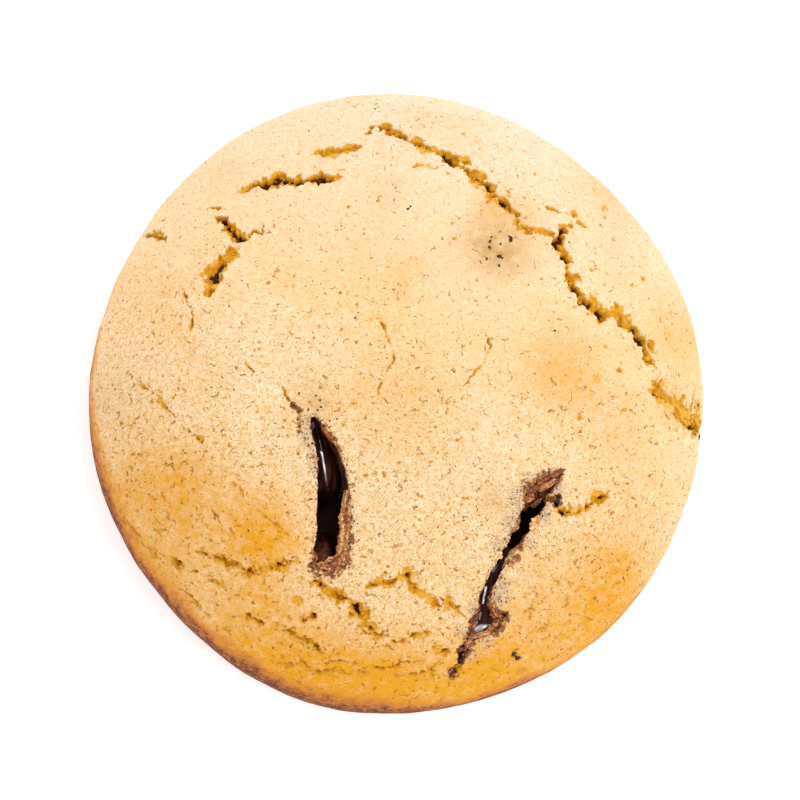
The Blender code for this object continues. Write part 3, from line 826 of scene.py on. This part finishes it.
# The darkest crumb colour, deep in the cracks, is partly painted shade
DEEP_TAN_AND_SHADE = colour(92, 48, 12)
ORANGE_TAN = colour(210, 134, 28)
BROWNED = colour(184, 108, 50)
BROWNED_DEEP = colour(146, 80, 40)
BROWNED_DARK = colour(92, 44, 28)
STAIN_AND_SHADE = colour(190, 146, 88)
DUST = colour(220, 194, 160)
DUST_DARK = colour(178, 142, 106)
SPECK = colour(80, 44, 34)
PIT = colour(190, 132, 24)
TICK = colour(188, 120, 16)
DARK_TICK = colour(112, 60, 6)
SMEAR = colour(176, 116, 74)
SMEAR_DARK = colour(84, 44, 28)
SMEAR_DEEP = colour(44, 20, 14)
SKIN_DARK = (0.87, 0.73, 0.52, 1)
SKIN_LIGHT = (1.03, 1.09, 1.26, 1)
LOW_SKIN_DARK = (0.70, 0.52, 0.22, 1)
LOW_SKIN_LIGHT = (1.12, 1.26, 1.78, 1)
WALL = colour(112, 60, 36)
WALL_DARK = colour(40, 18, 12)


def baked_crust():
    """Dry matt dough: pale and powdery on top, golden in its cracks, brown round the foot, with painted light
    and shade that make it paler towards the lamps, darker away from them and deep in its cracks.
    """
    n = Nodes("baked_crust")
    place = n.place()
    pale = n.attribute("pale")
    # Paler towards the lamps, SHADED_CREAM and more golden away from them: partly the crust's own tone,
    # partly painted light and shade
    tone = n.blend(n.spread(pale, 0.1, 0.55), SHADED_CREAM, CREAM)
    tone = n.blend(n.spread(pale, 0.55, 1), tone, PALE)
    grain = n.lumps(place, 0.2 * MM, 2, 0.7)
    mottle = n.lumps(place, 0.6 * MM, 3, 0.7)
    skin = n.plus(n.times(n.spread(grain, 0.33, 0.67), 0.65), n.times(n.spread(mottle, 0.36, 0.64), 0.35))
    low_skin = n.blend(skin, LOW_SKIN_DARK, LOW_SKIN_LIGHT)
    high_skin = n.blend(skin, SKIN_DARK, SKIN_LIGHT)
    tone = n.blend(1, tone, n.blend(n.spread(pale, 0.25, 0.75), low_skin, high_skin), "MULTIPLY")
    wide = n.spread(n.lumps(place, 8 * MM), 0.45, 0.75, 0, 0.16)
    golden = n.plus(n.attribute("golden"), n.plus(wide, n.spread(pale, 0.1, 0.6, 0.12, 0)))
    speckled = n.times(golden, n.spread(n.lumps(place, 1.3 * MM, 4, 0.75), 0.25, 0.75, 0.6, 1.3))
    tone = n.blend(n.maths("MINIMUM", speckled, 1), tone, GOLDEN)
    # Chocolate stains, and painted shade by the left rim, in one colour
    stained_and_shaded = n.times(n.attribute("stained_and_shaded"), n.spread(n.lumps(place, 1.2 * MM), 0.3, 0.6, 0.4, 1))
    tone = n.blend(stained_and_shaded, tone, STAIN_AND_SHADE)
    dusted = n.attribute("dusted")
    dust = n.blend(n.spread(grain, 0.35, 0.65), DUST_DARK, DUST)
    dusting = n.times(n.spread(dusted, 0.1, 0.8), n.spread(mottle, 0.38, 0.55, 0.35, 1))
    tone = n.blend(dusting, tone, dust)
    # The brown foot, whose band runs higher and darker away from the lamps, partly as painted shade
    foot = n.times(n.attribute("browned_and_shaded"), n.spread(n.lumps(place, 1.4 * MM, 3, 0.7), 0.25, 0.75, 0.7, 1.25))
    tone = n.blend(n.spread(foot, 0, 0.45, 0, 0.8), tone, ORANGE_TAN)
    crackled = n.spread(n.lumps(place, 0.5 * MM, 3, 0.75), 0.33, 0.67)
    browned_and_shaded = n.blend(crackled, BROWNED_DEEP, BROWNED)
    darkest = n.spread(n.less(foot, n.times(crackled, 0.25)), 0.55, 1)
    tone = n.blend(n.spread(foot, 0.3, 0.85), tone, n.blend(darkest, browned_and_shaded, BROWNED_DARK))
    # Short hairline ticks, pinpricks and pits in the dry skin
    wandering = n.shift(place, 1 * MM, 1.6 * MM)
    to_line = n.less(n.cells(wandering, 2 * MM, "DISTANCE_TO_EDGE"), n.spread(pale, 0.2, 0.7, 0.05, 0))
    broken = n.spread(n.lumps(place, 0.7 * MM), 0.57, 0.61)
    often = n.spread(n.lumps(place, 4 * MM, 1), 0.3, 0.55, 0.3, 1)
    ticks = n.times(n.times(n.spread(to_line, 0.02, 0.04, 1, 0), broken), often)
    crowded = n.plus(n.lumps(place, 2.4 * MM), n.spread(pale, 0.35, 0.95, 0.08, -0.18))
    pores = n.times(n.spread(n.cells(wandering, 0.75 * MM), 0.11, 0.18, 1, 0), n.spread(crowded, 0.4, 0.56))
    to_pit = n.less(n.cells(wandering, 0.85 * MM), n.times(n.spread(grain, 0.35, 0.65), 0.12))
    pitted = n.plus(n.lumps(place, 2.2 * MM, 2, 0.6), n.spread(pale, 0.2, 0.75, 0.2, -0.06))
    pits = n.times(n.spread(to_pit, 0.07, 0.12, 1, 0), n.spread(pitted, 0.53, 0.6))
    tone = n.blend(n.times(pits, 0.8), tone, n.blend(n.spread(grain, 0.4, 0.5), DARK_TICK, PIT))
    mark_tone = n.blend(n.spread(mottle, 0.48, 0.62), TICK, DARK_TICK)
    tone = n.blend(n.times(n.maths("MAXIMUM", ticks, pores), 0.85), tone, mark_tone)
    torn = n.attribute("torn")
    # Cracks go golden as they deepen, then dark tan deepest down, which is partly painted shade
    for start, full, crumb in ((0.03, 0.11, YOLK), (0.13, 0.32, MUSTARD), (0.38, 0.56, DEEP_TAN_AND_SHADE)):
        tone = n.blend(n.spread(torn, start, full), tone, crumb)
    smeared = n.spread(n.times(n.attribute("smeared"), n.spread(mottle, 0.3, 0.6, 0.35, 1.25)), 0.42, 0.56)
    smear = n.blend(n.spread(torn, 0.12, 0.4), n.blend(crackled, SMEAR_DARK, SMEAR), SMEAR_DEEP)
    tone = n.blend(smeared, tone, smear)
    specks = n.times(n.spread(dusted, 0.1, 0.5), n.spread(n.lumps(place, 0.28 * MM, 1), 0.6, 0.66))
    tone = n.blend(n.times(specks, 0.8), tone, SPECK)
    streaks = n.spread(n.lumps(place, 0.8 * MM), 0.35, 0.65)
    tone = n.blend(n.attribute("inside"), tone, n.blend(streaks, WALL, WALL_DARK))
    height = n.plus(n.times(grain, 0.09), n.times(mottle, 0.16))
    return n.surface(
        Base_Color=tone, Roughness=0.85, Specular_IOR_Level=0.25, Normal=n.bump(height, 1 * MM, 1))


baked_dough.data.materials.clear()
baked_dough.data.materials.append(baked_crust())
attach(baked_dough, "root")
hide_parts("dough")


# Torn strips, shards and crumbs in the splits
# Where the crust pulled apart, wet dough smeared with the filling stayed behind: strips that cling to
# the walls, thin shards at the top of the right-hand split, and loose crumbs round both.

# Split, lip (0 right, 1 left), where it starts and ends, width, drop at the wall and at the edge, tint
STRIPS = (
    ("west", 0, 0.49, 0.95, 1.3, 0.3, 1.5, 0.72), ("west", 0, 0.86, 1, 1.9, 0.25, 1, 0.6),
    ("west", 1, 0.90, 1, 1.2, 0.4, 1.2, 0.45), ("west", 0, 0.06, 0.2, 0.5, 0.2, 0.8, 0.45),
    ("west", 1, 0.01, 0.14, 0.5, 0.3, 1, 0.2), ("east", 0, 0.37, 0.58, 0.6, 0.3, 1.1, 0.62),
    ("east", 1, 0.10, 0.27, 0.9, 0.3, 1.6, 0.5), ("east", 0, 0.04, 0.17, 0.6, 0.3, 1.2, 0.5),
    ("east", 0, 0.66, 0.77, 0.5, 0.3, 0.8, 0.55), ("east", 1, 0.76, 0.87, 0.5, 0.2, 0.7, 0.35),
    ("east", 0, 0.75, 0.85, 0.8, 0.5, 1.2, 0.5), ("east", 0, 0.88, 0.96, 0.45, 0.2, 0.7, 0.6),
    ("east", 1, 0.87, 1, 0.7, 0.2, 0.7, 0.45), ("east", 1, 0.3, 0.4, 0.4, 0.3, 0.8, 0.62),
)
INTO_WALL = 0.3 * MM
STRIP_THICK = 0.6 * MM
STRIP_STEP = 0.13 * MM
# u, v, length, width, angle in degrees, how deep it sits, tint
SHARDS = (
    (19.9, -9.5, 3.4, 0.8, 31, 0.1, 0.4), (19.5, -10.6, 3, 0.75, 29, 0.25, 0.62),
    (17.5, -11.3, 1.6, 0.8, 50, 0.2, 0.4), (17, -12.4, 1.3, 0.7, 20, 0.3, 0.55),
    (18, -13, 1.5, 0.6, 40, 0.5, 0.3), (20.9, -12.6, 1.4, 0.6, 35, 0.3, 0.12),
    (17.7, -15.7, 1.7, 1.2, 60, 0.15, 0.84), (12.9, -19.8, 1.1, 1.1, 60, 0.1, 0.93),
    (14.9, -20.6, 1.4, 0.7, 48, 0.15, 0.6), (12.3, -26.5, 1.7, 0.6, -60, 0.2, 0.6),
    (12.9, -27.6, 1.5, 0.8, -20, 0.35, 0.45), (12.6, -28.9, 1.5, 0.7, 60, 0.35, 0.5),
    (9.7, -28, 1.5, 0.7, 35, 0.15, 0.35), (9.4, -30.6, 2.4, 0.6, 62, 0.15, 0.55),
    (8.4, -31.9, 1.1, 0.5, 15, 0.1, 0.3), (-8, -4.7, 1, 0.5, -50, 0.15, 0.6),
    (-7.5, -5.9, 1.1, 0.5, -60, 0.2, 0.5), (-6.9, -20, 1.5, 1, 65, 0.4, 0.62),
    (-7.8, -21.2, 1.9, 1, 15, 0.35, 0.55), (-9.6, -21.2, 1.5, 0.8, -15, 0.35, 0.6),
    (-11, -20.9, 1.1, 0.5, 40, 0.15, 0.3), (-10.9, -3, 1, 0.5, 80, 0.2, 0.12),
    (-8.8, -20.4, 1.2, 0.5, 30, 0.8, 0.7), (10.6, -30.1, 2.4, 0.5, 8, 0.15, 0.75),
)
SHARD_THICK = 0.22 * MM
CRUMBS_BY_LIPS = 520
CRUMBS_IN_CRACKS = 260
CRUMB_REACH = 0.55 * MM
# Specks of chocolate that came up through the skin: u, v, radius
CHOCOLATE_SPECKS = (
    (12.05, 20.9, 0.14), (11.97, 20.1, 0.16), (13.4, 20.5, 0.12), (14.6, 21.3, 0.24), (14.65, 20.9, 0.22),
    (13.2, 18.9, 0.22), (13.5, 18.75, 0.16), (13.2, 17.7, 0.15), (11.6, 18.6, 0.13), (12.2, 21.4, 0.12),
    (-9.9, 0.3, 0.12), (-10.4, 0.9, 0.1), (-11.4, -0.9, 0.12), (-10.2, -1, 0.16), (-9.8, -0.6, 0.14),
    (39.2, -4.6, 0.3), (14.9, -32.6, 0.26), (15.5, -33.1, 0.26), (1.3, 24.9, 0.14), (1.6, 25.2, 0.12),
    (20.2, 9.1, 0.12), (-12.6, 1.2, 0.12),
)


def torn_strip(strips, split, side, start, end, width, wall_drop, edge_drop, tint, seed):
    """A strip of dough that clings to a wall, from just inside it to a ragged free edge."""
    lip, other = SPLIT_SIDES[split][side], SPLIT_SIDES[split][1 - side]
    inward = other - lip
    gap = np.linalg.norm(inward, axis=1)
    inward /= gap[:, None]
    length = (end - start) * len(lip) * OUTLINE_STEP
    verts = bmesh.ops.create_grid(
        strips, x_segments=12, y_segments=max(8, int(length / STRIP_STEP)), size=1)["verts"]
    cells = corners_of(verts)
    out, ahead = (cells[:, 0] + 1) / 2, (cells[:, 1] + 1) / 2
    at = (start + ahead * (end - start)) * (len(lip) - 1)
    ordinal = np.arange(len(lip))
    wall = between(at, ordinal, lip)
    inward = between(at, ordinal, inward)
    rag = 1 + 0.5 * noise_along(ahead * length, 1.3 * MM, seed)
    rag += 0.14 * noise_along(ahead * length, 0.4 * MM, seed + 1)
    reach = width * MM * np.sin(math.pi * np.clip(ahead, 0.02, 0.98)) ** 0.35 * np.clip(rag, 0.3, 1.6)
    reach = np.minimum(reach, 0.85 * np.interp(at, ordinal, gap))
    places = wall + inward * ((reach + INTO_WALL) * out - INTO_WALL)[:, None]
    drawn = np.column_stack((out * width * MM, ahead * length * 0.12, np.full(len(out), seed * MM)))
    streak = noise_at(drawn, 0.35 * MM, seed + 2)
    lumps = 0.16 * MM * noise_over(places, 0.7 * MM, seed + 3)
    lumps += 0.1 * MM * noise_over(places, 0.3 * MM, seed + 4)
    drop = (wall_drop + (edge_drop - wall_drop) * out ** 1.4) * MM
    heights = crust_height(wall) - drop + lumps + 0.1 * MM * streak
    for vert, (x, y), z, shade in zip(verts, places, heights, streak):
        vert.co = (x, y, z)
        vert[tints] = tint + 0.45 * shade
    faces = list({face for vert in verts for face in vert.link_faces})
    grown = bmesh.ops.extrude_face_region(strips, geom=faces, use_keep_orig=True)["geom"]
    for part in grown:
        if isinstance(part, bmesh.types.BMVert):
            part.co.z -= STRIP_THICK


def lump(shapes, middle, size, turn, tint, subdivisions, seed, rag):
    """An uneven lump or flake of torn dough."""
    verts = bmesh.ops.create_icosphere(shapes, subdivisions=subdivisions, radius=1)["verts"]
    for vert in verts:
        shift = rag * noise.noise(vert.co * 1.6 + Vector((seed * 3.1, seed * 1.7, seed)))
        own = vert.co * (1 + shift)
        vert.co = middle + turn @ Vector((own.x * size[0], own.y * size[1], own.z * size[2]))
        vert[tints] = tint + 0.25 * shift


def on_top(u, v):
    """The point of the smooth crust under a place of the plan."""
    place = on_crust([(u, v)])
    return Vector((*place[0], crust_height(place)[0]))


def lie_of(x, y, angle):
    """The axes of a flake that lies flat on the crust, turned on the plan."""
    step = 0.3 * MM
    around = crust_height(np.array([(x + step, y), (x - step, y), (x, y + step), (x, y - step)]))
    up = Vector(((around[1] - around[0]) / (2 * step), (around[3] - around[2]) / (2 * step), 1)).normalized()
    ahead = PLAN_RIGHT * math.cos(angle) + PLAN_UP * math.sin(angle)
    ahead = (ahead - up * ahead.dot(up)).normalized()
    return Matrix((ahead, up.cross(ahead), up)).transposed()


torn = bmesh.new()
tints = torn.verts.layers.float.new("tint")
for i, strip in enumerate(STRIPS):
    torn_strip(torn, *strip, 200 + 7 * i)
for i, (u, v, length, width, angle, deep, tint) in enumerate(SHARDS):
    middle = on_top(u, v)
    turn = lie_of(*middle.xy, math.radians(angle))
    middle -= turn.col[2] * deep * MM
    lump(torn, middle, (length / 2 * MM, width / 2 * MM, SHARD_THICK), turn, tint, 4, 300 + i, 0.85)
bmesh.ops.recalc_face_normals(torn, faces=torn.faces[:])
bmesh.ops.triangulate(torn, faces=torn.faces[:])
torn_strips = object_from(torn, "torn_strips")
torn_strips.data.shade_smooth()

luck = random.Random(7)
crumb_shapes = bmesh.new()
tints = crumb_shapes.verts.layers.float.new("tint")
open_top = under < 0.01 * MM
by_lips = np.nonzero(open_top & (to_lip < 4 * CRUMB_REACH) & (cuts < 0.2 * MM))[0]
weights = np.exp(-to_lip[by_lips] / CRUMB_REACH)
chosen = luck.choices(list(by_lips), weights=list(weights), k=CRUMBS_BY_LIPS)
in_cracks = np.nonzero(open_top & (cuts > 0.12 * MM) & (cuts < 0.9 * MM) & (points[:, 2] > 8 * MM))[0]
chosen += luck.choices(list(in_cracks), k=CRUMBS_IN_CRACKS)
for i, vertex in enumerate(chosen):
    radius = (0.05 + 0.13 * luck.random() ** 2) * MM
    tint = luck.uniform(0.15, 0.75) if i < CRUMBS_BY_LIPS else luck.uniform(0.85, 1.0)
    turn = Matrix.Rotation(luck.uniform(0, math.pi), 3, (luck.random(), luck.random(), luck.random()))
    size = (radius * luck.uniform(0.8, 1.5), radius, radius * luck.uniform(0.6, 1))
    lump(crumb_shapes, Vector(points[vertex]), size, turn, tint, 1, i, 0.5)
for i, (u, v, radius) in enumerate(CHOCOLATE_SPECKS):
    middle = on_top(u, v)
    turn = lie_of(*middle.xy, luck.uniform(0, math.pi))
    size = (1.4 * radius * MM, radius * MM, 0.4 * radius * MM)
    lump(crumb_shapes, middle, size, turn, 0, 2, 900 + i, 0.9)
bmesh.ops.recalc_face_normals(crumb_shapes, faces=crumb_shapes.faces[:])
loose_crumbs = object_from(crumb_shapes, "loose_crumbs")

TORN_DARK = colour(44, 19, 13)
TORN_BROWN = colour(126, 62, 32)
TORN_TAN = colour(198, 130, 76)
TORN_PALE = colour(240, 206, 146)


def smeared_dough():
    """Torn dough with melted chocolate rubbed into it, from nearly black to the dough's own colour."""
    n = Nodes("smeared_dough")
    place = n.place()
    uneven = n.spread(n.lumps(place, 0.4 * MM, 3, 0.7), 0.33, 0.67, -0.22, 0.22)
    tint = n.plus(n.attribute("tint"), uneven)
    tone = n.blend(n.spread(tint, 0.1, 0.42), TORN_DARK, TORN_BROWN)
    tone = n.blend(n.spread(tint, 0.45, 0.75), tone, TORN_TAN)
    tone = n.blend(n.spread(tint, 0.78, 0.98), tone, TORN_PALE)
    return n.surface(
        Base_Color=tone, Roughness=n.spread(tint, 0.3, 0.9, 0.35, 0.85), Specular_IOR_Level=0.3,
        Normal=n.bump(n.lumps(place, 0.25 * MM, 3), 0.15 * MM, 0.7))


torn_strips.data.materials.append(smeared_dough())
loose_crumbs.data.materials.append(torn_strips.data.materials[0])
for piece in (torn_strips, loose_crumbs):
    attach(piece, "root")


# The chocolate filling
# Soft dark chocolate that was sealed in the middle of the dough ball. It spread into a flat pool as
# the cookie baked, and it stands up in the two splits where the crust tore over it.

# Depth of the chocolate under the crust along each split: share of the way, millimetres
SINKS = {
    "west": ((0, 0.8), (0.08, 1.5), (0.2, 2.6), (0.3, 2.5), (0.4, 2.4), (0.46, 3.2), (0.52, 9), (0.68, 9),
             (0.74, 5.4), (0.82, 3.8), (0.9, 2.6), (0.96, 1.6), (1, 0.8)),
    "east": ((0, 0.3), (0.1, 0.5), (0.16, 0.8), (0.2, 5), (0.36, 6.5), (0.42, 4.5), (0.46, 1.4), (0.6, 1),
             (0.74, 1.1), (0.82, 1), (0.9, 0.6), (1, 0.3)),
}
RISE_FOOT = 9.8 * MM
# The chocolate's top is crowned across each split: where its crest lies, and how round it is along the way
CREST = {"west": 0.2, "east": 0.1}
CROWNS = {
    "west": ((0, 2.2), (1, 2.2)),
    "east": ((0, 2), (0.82, 2), (0.87, 9), (0.93, 9), (1, 2)),
}


def chocolate_rise(name, seed):
    """The chocolate that stands up in a split: a streaky top on sides that run down into the pool."""
    right, left = SPLIT_SIDES[name]
    rise = bmesh.new()
    bmesh.ops.create_grid(rise, x_segments=34, y_segments=2 * len(left), size=1)
    cells = corners_of(rise.verts)
    across, along = cells[:, 0], (cells[:, 1] + 1) / 2
    at = along * (len(left) - 1)
    ordinal = np.arange(len(left))
    right, left = between(at, ordinal, right), between(at, ordinal, left)
    middle = (right + left) / 2
    half = left - middle
    width = np.linalg.norm(half, axis=1)[:, None]
    half *= (width + INTO_WALL) / width
    places = middle + half * across[:, None]
    drawn = np.column_stack((across * 2.2 * MM, along * 3 * MM, np.zeros(len(along))))
    crown = np.interp(along, *np.array(CROWNS[name]).T)
    calm = np.clip(2.2 / crown, 0.15, 1)
    uneven = along + 0.05 * calm * noise_at(drawn, 0.9 * MM, seed + 4)
    sink = np.interp(uneven, *np.array(SINKS[name]).T) * MM
    from_crest = (across - CREST[name]) * (width[:, 0] + INTO_WALL)
    sink += from_crest ** 2 / (2 * crown * MM)
    streaks = 0.05 * MM * noise_at(drawn, 0.9 * MM, seed)
    streaks *= np.clip(np.abs(from_crest) / (0.5 * MM), 0.1, 1.5) * calm
    lumps = 0.1 * MM * noise_over(places, 2.5 * MM, seed + 2) * calm
    heights = crust_height(places) - sink + streaks + lumps
    heights = np.maximum(heights, RISE_FOOT + 0.3 * MM)
    for vert, (x, y), z in zip(rise.verts, places, heights):
        vert.co = (x, y, z)
    grown = bmesh.ops.extrude_face_region(rise, geom=rise.faces[:], use_keep_orig=True)["geom"]
    for part in grown:
        if isinstance(part, bmesh.types.BMVert):
            part.co.z = RISE_FOOT
    bmesh.ops.recalc_face_normals(rise, faces=rise.faces[:])
    bmesh.ops.triangulate(rise, faces=rise.faces[:], quad_method="SHORT_EDGE")
    return object_from(rise, name + "_rise")


chocolate_filling = pool_block(0.05 * MM, "chocolate_filling")
for i, name in enumerate(SPLITS):
    combine(chocolate_filling, chocolate_rise(name, 110 + 10 * i), "UNION")
chocolate_filling.data.shade_smooth()

# Where crumbs and milky smears lie on the chocolate: u, v, radius, strength
CHOCOLATE_CRUMBED = (
    (-7.4, -20.6, 1.1, 0.9), (-9.2, -21.4, 1.2, 0.8), (-9.4, -19.4, 1.7, 0.8), (-8.8, -17.6, 1.2, 0.4),
    (20.3, -9.6, 1.2, 1), (18.9, -10.6, 1.2, 0.8), (18.3, -12.2, 0.9, 0.6), (12.9, -28.2, 1, 1),
    (9.2, -30.6, 1, 0.8), (9.5, -28.4, 0.6, 0.6),
)
# Where the chocolate is still wet and glossy: half width in mm, route
WET_LINES = (
    (0.11, ((-9.8, -4.6), (-9.36, -6.1), (-9.06, -8.1), (-8.8, -10.2))),
    (0.12, ((-10.5, -17.8), (-10.4, -19))),
    (0.2, ((-9.9, -21.1), (-9.5, -21.1))), (0.18, ((-8.4, -19.8), (-8.1, -19.6))),
    (0.13, ((12.4, -21.6), (12.9, -20.8))), (0.13, ((11.1, -25.7), (11.3, -24.7), (11.5, -23.7))),
    (0.13, ((10.6, -27.8), (10.75, -27))), (0.5, ((9.6, -29.6), (11, -29.2), (12.6, -29.3))),
)
CHOCOLATE = colour(36, 13, 9)
CHOCOLATE_LIGHT = colour(66, 28, 18)
CHOCOLATE_CRUMBS = colour(118, 66, 46)


def melted_chocolate():
    """Dark chocolate, dull but for its wet lines, with streaks and crumbs on it."""
    n = Nodes("melted_chocolate")
    place = n.place()
    tone = n.blend(n.spread(n.attribute("streaked"), 0.45, 1), CHOCOLATE, CHOCOLATE_LIGHT)
    crumbed = n.times(n.attribute("smeared"), n.spread(n.lumps(place, 0.7 * MM, 3, 0.6), 0.3, 0.6, 0.55, 1.1))
    tone = n.blend(n.spread(crumbed, 0.2, 0.9), tone, CHOCOLATE_CRUMBS)
    return n.surface(
        Base_Color=tone, Roughness=0.5, Specular_IOR_Level=0.06, Coat_Roughness=0.22, Coat_IOR=2.3,
        Coat_Weight=n.spread(n.attribute("wet"), 0.2, 0.8))


top_points = corners_of(chocolate_filling.data.vertices)
paint(chocolate_filling, "smeared", patches_at(top_points, CHOCOLATE_CRUMBED))
wet = np.zeros(len(top_points))
for half_width, route in WET_LINES:
    away, _, _ = nearest_on(on_crust(route), top_points[:, :2])
    wet = np.maximum(wet, np.exp(-0.7 * (away / (half_width * MM)) ** 2))
paint(chocolate_filling, "wet", wet)
drawn = np.column_stack((top_points[:, 0] * 3.2, top_points[:, 1] * 0.35, np.zeros(len(top_points))))
paint(chocolate_filling, "streaked", 0.5 + noise_at(drawn, 1.3 * MM, 140))
chocolate_filling.data.materials.clear()
chocolate_filling.data.materials.append(melted_chocolate())
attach(chocolate_filling, "root")
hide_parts("filling")


# The floor, the light and the camera
# A plain white sweep under soft daylight that comes from above, the right and behind, as in a studio.

floor_shape = bmesh.new()
bmesh.ops.create_grid(floor_shape, x_segments=1, y_segments=1, size=3)
bmesh.ops.translate(floor_shape, vec=(0, 0, -0.1 * MM), verts=floor_shape.verts)
studio_floor = object_from(floor_shape, "studio_floor")
studio_floor.data.materials.append(Nodes("white_floor").surface(
    Base_Color=(0.9, 0.9, 0.9, 1), Roughness=0.9, Emission_Color=(1, 1, 1, 1), Emission_Strength=0.45))

world = bpy.data.worlds.new("studio_world")
world.use_nodes = True
world.node_tree.nodes["Background"].inputs["Color"].default_value = (1, 1, 1, 1)
world.node_tree.nodes["Background"].inputs["Strength"].default_value = 0.98
bpy.context.scene.world = world


def soft_light(name, place, size, power):
    """A square lamp aimed at the cookie: place and size in metres, power in watts."""
    lamp = bpy.data.lights.new(name, "AREA")
    lamp.size = size
    lamp.energy = power
    piece = bpy.data.objects.new(name, lamp)
    piece.location = place
    piece.rotation_euler = (Vector((0, 0, 0.01)) - Vector(place)).to_track_quat("-Z", "Y").to_euler()
    bpy.context.scene.collection.objects.link(piece)


# The last three are there for the glints on the wet chocolate
soft_light("window_light", (0.3, 0.45, 0.55), 0.6, 0.5)
soft_light("sun_light", (0.25, 0.45, 0.75), 0.12, 1.0)
soft_light("left_split_glint", (0.1, 0.24, 0.76), 0.1, 0.5)
soft_light("right_split_glint", (0.28, -0.37, 0.65), 0.1, 0.35)
soft_light("pool_glint", (0.49, -0.36, 0.47), 0.13, 0.55)

LENS = 500
SENSOR = 36
PICTURE_WIDTH = 800
PIXEL = 0.13 * MM
# How far right of and above the cookie's middle the camera aims, in pixels
MIDDLE_OFF = (2.3, 1.7)
camera = bpy.data.cameras.new("camera")
camera.lens = LENS
camera.sensor_width = SENSOR
camera.clip_end = 10
eye = bpy.data.objects.new("camera", camera)
distance = PICTURE_WIDTH * PIXEL * LENS / SENSOR
aim = Vector((0, 0, PLAN_MIDDLE_HEIGHT)) + (PLAN_RIGHT * MIDDLE_OFF[0] + PLAN_UP * MIDDLE_OFF[1]) * PIXEL
turn = Matrix((PLAN_RIGHT, PLAN_UP, TOWARDS_EYE)).transposed().to_4x4()
eye.matrix_world = Matrix.Translation(aim + TOWARDS_EYE * distance) @ turn
bpy.context.scene.collection.objects.link(eye)
bpy.context.scene.camera = eye
bpy.context.scene.view_settings.view_transform = "Standard"
